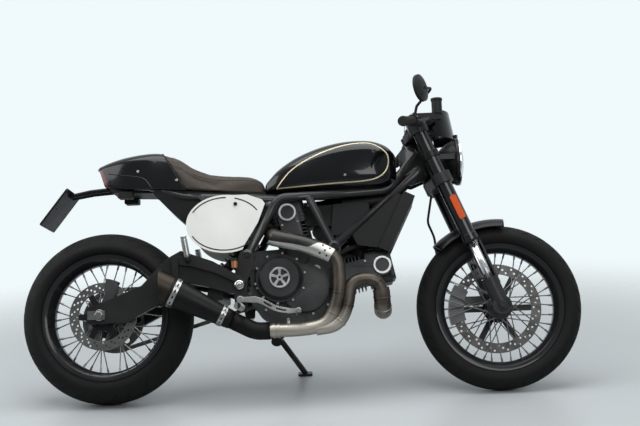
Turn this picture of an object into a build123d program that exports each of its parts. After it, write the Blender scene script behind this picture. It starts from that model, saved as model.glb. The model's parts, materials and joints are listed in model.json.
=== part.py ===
from build123d import *
import os
from collections import namedtuple
from math import atan2, cos, degrees, pi, radians, sin, sqrt

# Cafe racer motorcycle, millimetres. It is drawn upright: X forward from the rear axle, Y to the left,
# Z up from the floor. Each finished piece is then leaned onto the side stand and moved to the shared frame.

# Driving dimensions
WHEELBASE = 1436
LEAN = 15
RAKE = 22
FORK_OFFSET = 26
FORK_SPREAD = 103
ORIGIN_X = 710.5
ORIGIN_Y = 223.94
SIDES = (1, -1)
ACROSS = (90, 0, 0)
RISING = (Align.CENTER, Align.CENTER, Align.MIN)

os.makedirs("parts", exist_ok=True)

PARKED = Location((-ORIGIN_X, -ORIGIN_Y, 0)) * Location((0, 0, 0), (-LEAN, 0, 0))


def store(builder, name):
    """Lean a finished piece onto its stand, label it and write it."""
    piece = PARKED * builder.part
    piece.label = name
    export_step(piece, f"parts/{name}.step")


def tube(points, radius, bend):
    """Round bar along straight runs with rounded corners."""
    with BuildPart() as bar:
        with BuildLine() as route:
            if len(points) == 2:
                Line(*points)
            else:
                FilletPolyline(*points, radius=bend)
        with BuildSketch(Plane(origin=route.line @ 0, z_dir=route.line % 0)):
            Circle(radius)
        sweep(path=route.line)
    return bar.part


def slab(points, near, far, rounding=0):
    """Plate with a side outline in X and Z, between two distances to the left."""
    with BuildPart() as plate:
        with BuildSketch(Plane.XZ.offset(-far)) as outline:
            with BuildLine():
                Polyline(*points, close=True)
            make_face()
            if rounding:
                fillet(outline.vertices(), rounding)
        extrude(amount=far - near)
    return plate.part


def both_sides(point):
    """The same point on the left and on the right."""
    x, y, z = point
    return (x, y, z), (x, -y, z)


# Wheels: black wire wheels with sport tyres, one table for both.
Wheel = namedtuple("Wheel", "axle_x tyre_r tyre_half crown_r shoulder rim_half hub_half flange_y flange_r")
REAR = Wheel(0, 315, 90, 95, 84, 70, 66, 44, 52)
FRONT = Wheel(WHEELBASE, 300, 60, 62, 56, 44.5, 60, 36, 46)
BEAD_R = 222
FLANGE_TOP = 232
RIM_BED = 199
AXLE_R = 12.5
RUNNING = 0.05
SPOKES = 36
SPOKE_R = 2.2
SPOKE_TURN = 42


def axle_height(wheel):
    """Upright axle height that lets the leaned tyre just touch the floor."""
    return wheel.tyre_r + wheel.crown_r * (1 / cos(radians(LEAN)) - 1)


def axle_point(wheel, side=0):
    return Vector(wheel.axle_x, side, axle_height(wheel))


def wheel_section(wheel):
    """Plane whose first coordinate is the radius and second the distance to the left."""
    return Plane(origin=axle_point(wheel), x_dir=(1, 0, 0), z_dir=(0, 0, 1))


def make_tyre(wheel):
    drop = wheel.crown_r - sqrt(wheel.crown_r**2 - wheel.shoulder**2)
    shoulder_r = wheel.tyre_r - drop
    bead = wheel.rim_half - 7
    lip = wheel.rim_half + 1
    with BuildPart() as tyre:
        with BuildSketch(wheel_section(wheel)):
            with BuildLine():
                Polyline((BEAD_R, -bead), (BEAD_R, bead), (FLANGE_TOP + 0.6, bead), (FLANGE_TOP + 1.6, lip))
                ThreePointArc(
                    (FLANGE_TOP + 1.6, lip),
                    (0.45 * FLANGE_TOP + 0.55 * shoulder_r, wheel.tyre_half - 4),
                    (shoulder_r, wheel.shoulder),
                )
                ThreePointArc((shoulder_r, wheel.shoulder), (wheel.tyre_r, 0), (shoulder_r, -wheel.shoulder))
                ThreePointArc(
                    (shoulder_r, -wheel.shoulder),
                    (0.45 * FLANGE_TOP + 0.55 * shoulder_r, 4 - wheel.tyre_half),
                    (FLANGE_TOP + 1.6, -lip),
                )
                Polyline((FLANGE_TOP + 1.6, -lip), (FLANGE_TOP + 0.6, -bead), (BEAD_R, -bead))
            make_face()
        revolve(axis=Axis(axle_point(wheel), (0, 1, 0)))
    return tyre


def spoke_planes(wheel):
    """Start planes of the spokes, from the hub flanges to the rim bed, in two groups of one length."""
    groups = {1: [], -1: []}
    centre = axle_point(wheel)
    for number in range(SPOKES):
        side = SIDES[number % 2]
        hand = SIDES[(number // 2) % 2]
        at_rim = radians(number * 360 / SPOKES)
        at_hub = at_rim + radians(SPOKE_TURN * hand)
        head = wheel.flange_y + 3 * hand
        hub_r = wheel.flange_r - 6
        rim_r = RIM_BED + 4
        start = centre + Vector(hub_r * cos(at_hub), side * head, hub_r * sin(at_hub))
        end = centre + Vector(rim_r * cos(at_rim), side * 12, rim_r * sin(at_rim))
        groups[hand].append((Plane(origin=start, z_dir=end - start), (end - start).length))
    return groups.values()


def make_wire_wheel(wheel, left_boss, right_boss):
    """Rim, hub and spokes in one; each boss is the radius and end of a seat for a disc or sprocket."""
    inner = wheel.rim_half - 6.5
    spokes = spoke_planes(wheel)
    with BuildPart() as wire_wheel:
        with BuildSketch(wheel_section(wheel)):
            with BuildLine():
                Polyline(
                    (FLANGE_TOP, wheel.rim_half), (FLANGE_TOP, inner), (BEAD_R - 0.5, inner),
                    (BEAD_R - 0.5, 26), (BEAD_R - 10, 18), (BEAD_R - 10, -18), (BEAD_R - 0.5, -26),
                    (BEAD_R - 0.5, -inner), (FLANGE_TOP, -inner), (FLANGE_TOP, -wheel.rim_half),
                    (BEAD_R - 7, 3 - wheel.rim_half), (RIM_BED + 5, -26), (RIM_BED, -18),
                    (RIM_BED, 18), (RIM_BED + 5, 26), (BEAD_R - 7, wheel.rim_half - 3), close=True,
                )
            make_face()
        revolve(axis=Axis(axle_point(wheel), (0, 1, 0)))
        with BuildSketch(wheel_section(wheel)):
            with BuildLine():
                Polyline(
                    (AXLE_R + RUNNING, right_boss[1]), (right_boss[0], right_boss[1]),
                    (right_boss[0], -wheel.flange_y - 10), (wheel.flange_r, -wheel.flange_y - 6),
                    (wheel.flange_r, 6 - wheel.flange_y), (32, 14 - wheel.flange_y),
                    (32, wheel.flange_y - 14),
                    (wheel.flange_r, wheel.flange_y - 6), (wheel.flange_r, wheel.flange_y + 6),
                    (left_boss[0], wheel.flange_y + 10), (left_boss[0], left_boss[1]),
                    (AXLE_R + RUNNING, left_boss[1]), close=True,
                )
            make_face()
        revolve(axis=Axis(axle_point(wheel), (0, 1, 0)))
        for group in spokes:
            with Locations(*[plane for plane, length in group]):
                Cylinder(SPOKE_R, group[0][1], align=RISING)
    return wire_wheel


def make_disc(wheel, outer, inner, middle, face, thick, arms):
    """Drilled brake disc on a spider; face is the side that sits on the hub, thick runs away from it."""
    low, high = sorted((face, face + thick))
    with BuildPart() as disc:
        with BuildSketch(Plane.XZ.offset(-high).shift_origin(axle_point(wheel, high))):
            Circle(outer)
            Circle(inner, mode=Mode.SUBTRACT)
            Circle(middle)
            Circle(AXLE_R + 8, mode=Mode.SUBTRACT)
            with PolarLocations((inner + middle) / 2, arms):
                Rectangle(inner - middle + 16, 22)
            for row, angle in ((0.25, 0), (0.5, 6), (0.75, 12)):
                with PolarLocations(inner + row * (outer - inner), 20, start_angle=angle):
                    Circle(4, mode=Mode.SUBTRACT)
        extrude(amount=high - low)
    return disc


SPROCKET_FACE = 102
REAR_DISC_FACE = -97.5
FRONT_DISC_FACE = 54
rear_tyre = make_tyre(REAR)
front_tyre = make_tyre(FRONT)
rear_wheel = make_wire_wheel(REAR, (74, SPROCKET_FACE), (50, REAR_DISC_FACE))
front_wheel = make_wire_wheel(FRONT, (50, FRONT_DISC_FACE), (34, -72))
rear_disc = make_disc(REAR, 122.5, 88, 52, REAR_DISC_FACE, -5, 6)
front_disc = make_disc(FRONT, 165, 128, 52, FRONT_DISC_FACE, 5, 6)

# Rear sprocket and the chain that runs round it; the tooth tips stay inside the rollers.
PITCH = 15.875
REAR_TEETH = 46
GEARBOX_TEETH = 15
CHAIN_Y = 105
ROLLER_R = 5
LINK_R = 7.2
PLATE_T = 1.8
GEARBOX = Vector(585, CHAIN_Y, 405)
REAR_PITCH_R = PITCH / 2 / sin(pi / REAR_TEETH)
GEARBOX_PITCH_R = PITCH / 2 / sin(pi / GEARBOX_TEETH)


def loop_outline(offset):
    """Closed chain outline at a distance outside the pitch line."""
    rear_centre = Vector(REAR.axle_x, axle_height(REAR))
    front_centre = Vector(GEARBOX.X, GEARBOX.Z)
    run = front_centre - rear_centre
    slope = degrees(atan2(run.Y, run.X))
    spread = degrees(atan2(REAR_PITCH_R - GEARBOX_PITCH_R, run.length))
    rear_r = REAR_PITCH_R + offset
    front_r = GEARBOX_PITCH_R + offset
    up = radians(slope + 90 - spread)
    down = radians(slope - 90 + spread)
    rear_up = rear_centre + Vector(cos(up), sin(up)) * rear_r
    rear_down = rear_centre + Vector(cos(down), sin(down)) * rear_r
    front_up = front_centre + Vector(cos(up), sin(up)) * front_r
    front_down = front_centre + Vector(cos(down), sin(down)) * front_r
    back = rear_centre - run.normalized() * rear_r
    nose = front_centre + run.normalized() * front_r
    return rear_up, front_up, nose, front_down, rear_down, back


def link_spots():
    """Middle and slope of every second link round the pitch line, for the outer plates."""
    rear_up, front_up, nose, front_down, rear_down, back = loop_outline(0)
    with BuildLine() as loop:
        Line(rear_up, front_up)
        ThreePointArc(front_up, nose, front_down)
        Line(front_down, rear_down)
        ThreePointArc(rear_down, back, rear_up)
    pitch_line = loop.wire()
    count = int(pitch_line.length // (2 * PITCH))
    spots = []
    for link in range(count):
        middle = pitch_line @ (link / count)
        along = pitch_line % (link / count)
        spots.append(Location((middle.X, middle.Y), degrees(atan2(along.Y, along.X))))
    return spots


def chain_band(outer, inner, centre_y, width):
    """Flat band of the chain loop between two distances from the pitch line."""
    with BuildPart() as band:
        with BuildSketch(Plane.XZ.offset(-centre_y - width / 2)):
            for offset, mode in ((outer, Mode.ADD), (inner, Mode.SUBTRACT)):
                rear_up, front_up, nose, front_down, rear_down, back = loop_outline(offset)
                with BuildLine():
                    Line(rear_up, front_up)
                    ThreePointArc(front_up, nose, front_down)
                    Line(front_down, rear_down)
                    ThreePointArc(rear_down, back, rear_up)
                make_face(mode=mode)
        extrude(amount=width)
    return band.part


with BuildPart() as rear_sprocket:
    outer_face = SPROCKET_FACE + 6.5
    with BuildSketch(Plane.XZ.offset(-outer_face).shift_origin(axle_point(REAR, outer_face))):
        Circle(REAR_PITCH_R - ROLLER_R - 1)
        Circle(66, mode=Mode.SUBTRACT)
        Circle(72)
        Circle(40, mode=Mode.SUBTRACT)
        with PolarLocations(88, 6):
            Circle(11, mode=Mode.SUBTRACT)
    extrude(amount=6)

with BuildPart() as chain:
    add(chain_band(LINK_R, -LINK_R + 1, CHAIN_Y + 6, 3))
    add(chain_band(LINK_R, -LINK_R + 1, CHAIN_Y - 6, 3))
    add(chain_band(ROLLER_R, -ROLLER_R + 0.5, CHAIN_Y, 10))
    for face in (CHAIN_Y + 7.5 + PLATE_T, CHAIN_Y - 7.5):
        with BuildSketch(Plane.XZ.offset(-face)):
            with Locations(*link_spots()):
                Rectangle(PITCH + 11, 2 * LINK_R)
        extrude(amount=PLATE_T)

store(rear_tyre, "rear_tyre")
store(front_tyre, "front_tyre")
store(rear_wheel, "rear_wire_wheel")
store(front_wheel, "front_wire_wheel")
store(rear_disc, "rear_brake_disc")
store(front_disc, "front_brake_disc")
store(rear_sprocket, "rear_sprocket")
store(chain, "chain")

# Swingarm: two bent arms, a pivot tube and a cross beam between the chain runs, with the chain guard.
PIVOT = Vector(503, 0, 406)
ARM_IN = 118
ARM_OUT = 148
PIVOT_R = 24
SHOCK_LOW = Vector(398, 55, 455)
SHOCK_HIGH = Vector(590, 55, 642)
REAR_Z = axle_height(REAR)
ARM_SIDE = [
    (520, 430), (408, 497), (293, 540), (240, 512), (150, 420), (12, REAR_Z + 46), (-48, REAR_Z + 30),
    (-48, REAR_Z - 30), (92, REAR_Z - 28), (203, 345), (300, 425), (390, 405), (470, 378), (520, 384),
]
arms = [slab(ARM_SIDE, ARM_IN, ARM_OUT, 9), slab(ARM_SIDE, -ARM_OUT, -ARM_IN, 9)]
cross_beam = slab([(375, 352), (440, 360), (440, 410), (390, 412)], -ARM_IN - 2, ARM_IN + 2, 8)
shock_foot = slab([(378, 400), (425, 400), (416, 470), (382, 470)], 47, 63, 10)
with BuildPart() as swingarm:
    for piece in arms:
        add(piece)
    add(cross_beam)
    add(shock_foot)
    with Locations(Location(PIVOT, ACROSS)):
        Cylinder(PIVOT_R, 300)
    with Locations(Location(axle_point(REAR), ACROSS)):
        Cylinder(AXLE_R, 320, mode=Mode.SUBTRACT)
    with Locations(Location(SHOCK_LOW, ACROSS)):
        Cylinder(8, 40, mode=Mode.SUBTRACT)

with BuildPart() as rear_axle:
    with Locations(Location(axle_point(REAR), ACROSS)):
        Cylinder(AXLE_R, 316)
    with Locations(*[Location(axle_point(REAR, side * (ARM_OUT + 8)), ACROSS) for side in SIDES]):
        Cylinder(20, 16)
    with Locations(Location(axle_point(REAR, 114), ACROSS)):
        Cylinder(20, 8)
    with Locations(Location(axle_point(REAR, -111.5), ACROSS)):
        Cylinder(20, 13)

# Rear shock on the left, between the swingarm and a short cross tube of the frame.
shock_run = SHOCK_HIGH - SHOCK_LOW
shock_plane = Plane(origin=SHOCK_LOW, z_dir=shock_run, x_dir=(0, 1, 0))
with BuildPart() as rear_shock:
    with Locations(shock_plane):
        Cylinder(10, shock_run.length, align=RISING)
        with Locations((0, 0, 34)):
            Cylinder(33, 12, align=RISING)
        with Locations((0, 0, 46)):
            Cylinder(19, 150, align=RISING)
        with Locations((0, 0, 188)):
            Cylinder(33, 14, align=RISING)
        for turn in range(7):
            with Locations((0, 0, 52 + turn * 22)):
                Torus(27, 5.5)
        for turn in range(7):
            with Locations((0, 0, 52 + turn * 22)):
                Cylinder(27, 4)
    with Locations(Location(SHOCK_LOW, ACROSS)):
        Cylinder(19, 16)
        Cylinder(8, 60)
    with Locations(Location(SHOCK_LOW, ACROSS)):
        Cylinder(24, 16.2, mode=Mode.SUBTRACT)
        Cylinder(8, 30)
    with Locations(*[Location(SHOCK_LOW + Vector(0, side * 14, 0), ACROSS) for side in SIDES]):
        Cylinder(19, 11)
    with Locations(Location(SHOCK_HIGH, ACROSS)):
        Cylinder(22, 34)
        Cylinder(12, 40, mode=Mode.SUBTRACT)

store(swingarm, "swingarm")
store(rear_axle, "rear_axle")
store(rear_shock, "rear_shock")

# Steering: the fork, its clamps and all that turns with it are placed along the steering axis.
RAKE_SIN = sin(radians(RAKE))
RAKE_COS = cos(radians(RAKE))
FRONT_Z = axle_height(FRONT)
AXIS_FOOT_X = WHEELBASE + (FRONT_Z * RAKE_SIN - FORK_OFFSET) / RAKE_COS
STEER = Plane(origin=(AXIS_FOOT_X, 0, 0), x_dir=(RAKE_COS, 0, RAKE_SIN), z_dir=(-RAKE_SIN, 0, RAKE_COS))
AXLE_UP = STEER.to_local_coords(Vector(WHEELBASE, 0, FRONT_Z)).Z
OUTER_R = 27
STANCHION_R = 21.5
OUTER_LOW = 572
FOOT_TOP = 421
LOW_CLAMP = 800
LOW_CLAMP_H = 40
TOP_CLAMP = 1008
TOP_CLAMP_H = 26
OUTER_TOP = TOP_CLAMP + TOP_CLAMP_H + 38
STEM_R = 20
HEAD_R = 31
HEAD_LOW = LOW_CLAMP + LOW_CLAMP_H + 2
HEAD_TOP = TOP_CLAMP - 2
LEGS = [(FORK_OFFSET, side * FORK_SPREAD) for side in SIDES]


def leg_points(up):
    return [(x, y, up) for x, y in LEGS]


with BuildPart(STEER) as fork_outers:
    with Locations(*leg_points(OUTER_LOW)):
        Cylinder(OUTER_R, OUTER_TOP - OUTER_LOW, align=RISING)
    with Locations(*leg_points(OUTER_LOW)):
        Cylinder(OUTER_R + 3, 24, align=RISING)
    with Locations(*leg_points(OUTER_TOP)):
        Cylinder(20, 9, align=RISING)

with BuildPart(STEER) as stanchions:
    with Locations(*leg_points(FOOT_TOP)):
        Cylinder(STANCHION_R, OUTER_LOW - FOOT_TOP, align=RISING)

with BuildPart(STEER) as fork_feet:
    with Locations(*leg_points(AXLE_UP - 16)):
        Cylinder(29, FOOT_TOP - AXLE_UP + 16, align=RISING)
    with Locations(*[Location((FORK_OFFSET, side * 103, AXLE_UP), ACROSS) for side in SIDES]):
        Cylinder(33, 44)
    with Locations(*[Location((FORK_OFFSET, side * 77, AXLE_UP), ACROSS) for side in SIDES]):
        Cylinder(19, 9)
    with Locations(Location((FORK_OFFSET, 0, AXLE_UP), ACROSS)):
        Cylinder(AXLE_R, 262)
    with Locations(*[(x + 26, y, FOOT_TOP - 30) for x, y in LEGS]):
        Box(6, 34, OUTER_LOW - FOOT_TOP + 18, align=RISING)

with BuildPart(STEER) as clamps:
    with BuildSketch(STEER.offset(LOW_CLAMP)):
        with Locations(*LEGS):
            Circle(38)
        Circle(34)
        with BuildLine():
            Polyline(
                (-30, 30), (0, 118), (44, 118), (30, 62), (30, -62), (44, -118), (0, -118), (-30, -30),
                close=True,
            )
        make_face()
        with Locations(*LEGS):
            Circle(OUTER_R, mode=Mode.SUBTRACT)
    extrude(amount=LOW_CLAMP_H)
    with BuildSketch(STEER.offset(TOP_CLAMP)):
        with Locations(*LEGS):
            Circle(36)
        Circle(36)
        with BuildLine():
            Polyline((-30, 30), (4, 118), (44, 118), (36, 0), (44, -118), (4, -118), (-30, -30), close=True)
        make_face()
        with Locations(*LEGS):
            Circle(OUTER_R, mode=Mode.SUBTRACT)
    extrude(amount=TOP_CLAMP_H)
    with Locations((0, 0, LOW_CLAMP)):
        Cylinder(STEM_R, TOP_CLAMP - LOW_CLAMP, align=RISING)
    with Locations((0, 0, TOP_CLAMP + TOP_CLAMP_H)):
        Cylinder(17, 8, align=RISING)

# Clip-on bars, grips, levers and mirrors, in steering coordinates: ahead, left, up the axis.
CLIP_UP = TOP_CLAMP + TOP_CLAMP_H
CLIP_H = 30
BAR_R = 11
BAR_ROOT = Vector(44, 126, CLIP_UP + 15)
BAR_END = Vector(-46, 345, CLIP_UP - 10)
bar_way = (BAR_END - BAR_ROOT).normalized()
GRIP_LENGTH = 125
GRIP_R = 16.5


def steer_point(point):
    """Turn a place given ahead, left and up the steering axis into a place on the bike."""
    return STEER.from_local_coords(Vector(point))


def other_side(point):
    return Vector(point.X, -point.Y, point.Z)


def on_bar(from_end):
    """Centre of the left bar at a distance in from its end."""
    return steer_point(BAR_END - bar_way * from_end)


def bar_sleeve(from_end, length, radius, bore):
    """Sleeve round the left bar, starting at a distance in from the end."""
    with BuildPart() as sleeve:
        with Locations(Plane(origin=on_bar(from_end), z_dir=on_bar(0) - on_bar(10))):
            Cylinder(radius, length, align=RISING)
            if bore:
                Cylinder(bore, length, align=RISING, mode=Mode.SUBTRACT)
    return sleeve.part


bar_rod = tube([steer_point(BAR_ROOT), on_bar(0)], BAR_R, 1)
with BuildPart() as handlebars:
    with Locations(*[STEER.location * Location(spot) for spot in leg_points(CLIP_UP)]):
        Cylinder(36, CLIP_H, align=RISING)
    add(bar_rod)
    add(mirror(bar_rod, about=Plane.XZ, mode=Mode.PRIVATE))
    with Locations(*[STEER.location * Location(spot) for spot in leg_points(CLIP_UP)]):
        Cylinder(OUTER_R, CLIP_H, align=RISING, mode=Mode.SUBTRACT)

grip = bar_sleeve(GRIP_LENGTH, GRIP_LENGTH, GRIP_R, BAR_R)
bar_cap = bar_sleeve(0, 10, GRIP_R + 1, 0)
with BuildPart() as grips:
    add(grip)
    add(bar_cap)
    mirror(about=Plane.XZ)

# Switch blocks, lever perches, levers and the fluid pots.
switch = bar_sleeve(GRIP_LENGTH + 45, 44, 21, BAR_R)
perch = bar_sleeve(GRIP_LENGTH + 71, 26, 19, BAR_R)
lever_root = on_bar(GRIP_LENGTH + 58) + Vector(16, 0, 2)
lever = tube(
    [lever_root, lever_root + Vector(32, 8, 4), on_bar(70) + Vector(62, 4, 0),
     on_bar(-4) + Vector(52, 0, -2)],
    5, 14,
)
master = on_bar(GRIP_LENGTH + 62)
pot_foot = master + Vector(76, -4, 22)
with BuildPart() as hand_controls:
    add(switch)
    add(perch)
    add(lever)
    with Locations(master + Vector(44, -4, 12)):
        Box(88, 24, 24)
    with Locations(pot_foot):
        Cylinder(19, 48, align=RISING)
    with Locations(pot_foot + Vector(0, 0, 48)):
        Cylinder(21, 8, align=RISING)
    mirror(about=Plane.XZ)
    add(bar_rod, mode=Mode.SUBTRACT)
    add(mirror(bar_rod, about=Plane.XZ, mode=Mode.PRIVATE), mode=Mode.SUBTRACT)

# Round mirrors on stalks, glass to the rear.
MIRROR_SPOT = steer_point((60, 310, CLIP_UP + 81))
MIRROR_R = 49
stalk_foot = on_bar(GRIP_LENGTH + 24) + Vector(4, 0, 16)
stalk = tube(
    [stalk_foot, stalk_foot + Vector(8, 6, 34), MIRROR_SPOT + Vector(46, -44, 10),
     MIRROR_SPOT + Vector(18, 8, 0)],
    5, 14,
)
with BuildPart() as mirrors:
    add(stalk)
    with Locations(Plane(origin=MIRROR_SPOT, z_dir=(0.85, 0.5, 0.1))):
        Cylinder(MIRROR_R, 10, align=RISING)
        with Locations((0, 0, 10)):
            Cone(MIRROR_R, 26, 10, align=RISING)
    with Locations(stalk_foot):
        Cylinder(8, 22)
    mirror(about=Plane.XZ)
    add(hand_controls.part, mode=Mode.SUBTRACT)
    add(handlebars.part, mode=Mode.SUBTRACT)

store(fork_outers, "fork_outer_tubes")
store(stanchions, "fork_stanchions")
store(fork_feet, "fork_feet_and_axle")
store(clamps, "fork_clamps")
store(handlebars, "clip_on_bars")
store(grips, "grips")
store(hand_controls, "hand_controls")
store(mirrors, "mirrors")

# Headlight with its fork rings, lens, flyscreen and dial.
LAMP_SPOT = steer_point((50, 0, LOW_CLAMP + 97))
LAMP_Z = LAMP_SPOT.Z
LAMP_R = 86
LAMP_BACK = LAMP_SPOT.X
LAMP_FRONT = LAMP_BACK + 82
LAMP_UP = LOW_CLAMP + 105
with BuildPart() as headlight:
    with BuildSketch(Plane.XZ.shift_origin((LAMP_BACK, 0, LAMP_Z))):
        with BuildLine():
            Line((0, 0), (0, 30))
            ThreePointArc((0, 30), (30, 66), (66, LAMP_R - 3))
            Polyline((66, LAMP_R - 3), (70, LAMP_R), (82, LAMP_R), (82, 0), (0, 0))
        make_face()
    revolve(axis=Axis((LAMP_BACK, 0, LAMP_Z), (1, 0, 0)))
    with Locations(*[STEER.location * Location(spot) for spot in leg_points(LAMP_UP)]):
        Cylinder(33, 24, align=RISING)
    with Locations(*both_sides((LAMP_BACK + 26, 84, LAMP_Z + 6))):
        Box(66, 14, 22)
    with Locations(*[STEER.location * Location(spot) for spot in leg_points(LAMP_UP)]):
        Cylinder(OUTER_R, 60, mode=Mode.SUBTRACT)

LENS_TOP = 17
LENS_BALL = ((LAMP_R - 6) ** 2 + (LENS_TOP - 4) ** 2) / (2 * (LENS_TOP - 4))
with BuildPart() as lens:
    with BuildSketch(Plane.XZ.shift_origin((LAMP_FRONT, 0, LAMP_Z))):
        with BuildLine():
            Polyline((0, 0), (0, LAMP_R - 6), (4, LAMP_R - 6))
            half_way = LENS_TOP - LENS_BALL + sqrt(LENS_BALL**2 - 40**2)
            ThreePointArc((4, LAMP_R - 6), (half_way, 40), (LENS_TOP, 0))
            Line((LENS_TOP, 0), (0, 0))
        make_face()
    revolve(axis=Axis((LAMP_FRONT, 0, LAMP_Z), (1, 0, 0)))

SCREEN_LOW = LAMP_SPOT + Vector(73, 0, 80)
SCREEN_TOP = SCREEN_LOW + Vector(-18, 0, 106)
with BuildPart() as flyscreen:
    with BuildSketch(Plane(origin=SCREEN_LOW - Vector(105, 0, 0))):
        Circle(105)
        Circle(101, mode=Mode.SUBTRACT)
        with Locations((-45, 0)):
            Rectangle(160, 260, mode=Mode.SUBTRACT)
    extrude(amount=(SCREEN_TOP - SCREEN_LOW).length, dir=(SCREEN_TOP - SCREEN_LOW).normalized())
    with Locations(SCREEN_LOW + Vector(-13, 0, 0)):
        Box(10, 60, 12)
    with Locations((LAMP_FRONT - 12, 0, LAMP_Z + LAMP_R)):
        Box(22, 50, 30)
    add(headlight.part, mode=Mode.SUBTRACT)

with BuildPart() as dial:
    with Locations(STEER.location * Location((100, 0, TOP_CLAMP + 30), (0, -10, 0))):
        Cylinder(40, 30, align=RISING)
        with Locations((0, 0, 30)):
            Cylinder(37, 3, align=RISING)
    with Locations(STEER.location * Location((60, 0, TOP_CLAMP + 24))):
        Box(60, 30, 36)
    add(clamps.part, mode=Mode.SUBTRACT)

# Short front fender over the tyre, held at the outer tubes.
FENDER_R = 327
FENDER_HALF = 68
FENDER_FROM = 84
FENDER_SWEEP = 50
fender_start = Plane(
    origin=axle_point(FRONT),
    x_dir=(cos(radians(FENDER_FROM)), 0, sin(radians(FENDER_FROM))),
    z_dir=(-sin(radians(FENDER_FROM)), 0, cos(radians(FENDER_FROM))),
)
with BuildPart() as fender:
    with BuildSketch(fender_start):
        with BuildLine():
            ThreePointArc((FENDER_R - 36, FENDER_HALF), (FENDER_R, 0), (FENDER_R - 36, -FENDER_HALF))
            Line((FENDER_R - 36, -FENDER_HALF), (FENDER_R - 38, 4 - FENDER_HALF))
            ThreePointArc(
                (FENDER_R - 38, 4 - FENDER_HALF), (FENDER_R - 4, 0), (FENDER_R - 38, FENDER_HALF - 4)
            )
            Line((FENDER_R - 38, FENDER_HALF - 4), (FENDER_R - 36, FENDER_HALF))
        make_face()
    revolve(axis=Axis(axle_point(FRONT), (0, -1, 0)), revolution_arc=FENDER_SWEEP)
    with Locations(*[STEER.location * Location((FORK_OFFSET, side * 72, 608)) for side in SIDES]):
        Box(44, 18, 26)
    add(fork_outers.part, mode=Mode.SUBTRACT)

# Front caliper behind the left foot and its hose up to the lower clamp.
with BuildPart() as front_caliper:
    with BuildSketch(Plane.XZ.offset(-84).shift_origin(axle_point(FRONT, 84))):
        Circle(178)
        Circle(122, mode=Mode.SUBTRACT)
        with BuildLine():
            Polyline((0, 0), (-300, 190), (-300, -100), close=True)
        make_face(mode=Mode.INTERSECT)
    extrude(amount=48)
    with Locations(axle_point(FRONT, 56.5)):
        with Locations(Location((0, 0, 0), ACROSS)):
            Cylinder(171, 13, mode=Mode.SUBTRACT)
    with Locations((WHEELBASE - 100, 88, FRONT_Z + 34)):
        Box(120, 20, 34)
    add(fork_feet.part, mode=Mode.SUBTRACT)

hose_low = Vector(WHEELBASE - 160, 96, FRONT_Z + 46)
hose_top = steer_point((-20, 60, LOW_CLAMP - 4))
front_hose = tube(
    [Vector(WHEELBASE - 148, 88, FRONT_Z + 50), hose_low + Vector(-38, 26, 60),
     hose_low + Vector(-50, 30, 240),
     hose_top + Vector(-14, 20, -90), hose_top + Vector(4, 0, 6)],
    4.5, 45,
)
with BuildPart() as brake_hose:
    add(front_hose)
    add(clamps.part, mode=Mode.SUBTRACT)
    add(front_caliper.part, mode=Mode.SUBTRACT)

with BuildPart() as reflectors:
    with Locations(*[STEER.location * Location((x + 4, y * 1.272, LOW_CLAMP - 100)) for x, y in LEGS]):
        Box(24, 10, 92)
    fillet(reflectors.edges().filter_by(Axis.Y), 6)
    add(fork_outers.part, mode=Mode.SUBTRACT)

store(headlight, "headlight")
store(lens, "headlight_lens")
store(flyscreen, "flyscreen")
store(dial, "instrument_dial")
store(fender, "front_fender")
store(front_caliper, "front_caliper")
store(brake_hose, "front_brake_hose")
store(reflectors, "fork_reflectors")

# Trellis frame with the steering head, and the subframe rails under the seat.
TUBE_R = 16
BOSS_R = 23
BOSS = Vector(532, 131, 512)
APEX = Vector(845, 116, 537)
NECK_TOP = steer_point((-9, 30, HEAD_TOP - 53))
NECK_LOW = steer_point((-22, 28, HEAD_LOW + 54))
RAIL_BEND = NECK_TOP + Vector(-119, 44, -138)
RAIL_BACK = Vector(645, 124, 722)
BRACE_TOP = Vector(758, 116, 724)
TAIL_RAIL = [Vector(640, 118, 722), Vector(300, 100, 746), Vector(120, 80, 806)]
STRUT = [BOSS + Vector(28, -8, 33), Vector(360, 106, 744)]
GUSSET = [(-6, 990), (-6, 852), (-75, 852), (-100, 870), (-82, 935), (-66, 985)]
gusset_spots = [steer_point((ahead, 0, up)) for ahead, up in GUSSET]
gusset_side = [(spot.X, spot.Z) for spot in gusset_spots]
gussets = [slab(gusset_side, 35, 42, 0), slab(gusset_side, -42, -35, 0)]
Run = namedtuple("Run", "points radius bend")
FRAME_RUNS = [
    Run([NECK_TOP, RAIL_BEND, RAIL_BACK, BOSS], TUBE_R, 60), Run([NECK_LOW, APEX], TUBE_R - 2, 0),
    Run([BRACE_TOP, APEX], TUBE_R - 2, 0), Run(TAIL_RAIL, 13, 80), Run(STRUT, 12, 0),
]
frame_runs = []
for run in FRAME_RUNS:
    frame_runs.append(tube(run.points, run.radius, run.bend))
    frame_runs.append(tube([other_side(point) for point in run.points], run.radius, run.bend))
with BuildPart() as frame:
    for run in frame_runs:
        add(run)
    for gusset in gussets:
        add(gusset)
    with Locations(STEER.location * Location((0, 0, HEAD_LOW))):
        Cylinder(HEAD_R, HEAD_TOP - HEAD_LOW, align=RISING)
    with Locations(*[Location((BOSS.X, side * 117.5, BOSS.Z), ACROSS) for side in SIDES]):
        Cylinder(BOSS_R, 65)
    with Locations(*[Location((APEX.X, side * 108, APEX.Z), ACROSS) for side in SIDES]):
        Cylinder(20, 46)
    with Locations(*[Location((spot.X, 0, spot.Z), ACROSS) for spot in (BRACE_TOP, TAIL_RAIL[1])]):
        Cylinder(11, 200)
    with Locations(Location(SHOCK_HIGH + Vector(0, 29, 0), ACROSS)):
        Cylinder(12, 92)
    with Locations(STEER.location * Location((0, 0, HEAD_LOW))):
        Cylinder(STEM_R + RUNNING, HEAD_TOP - HEAD_LOW, align=RISING, mode=Mode.SUBTRACT)

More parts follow.
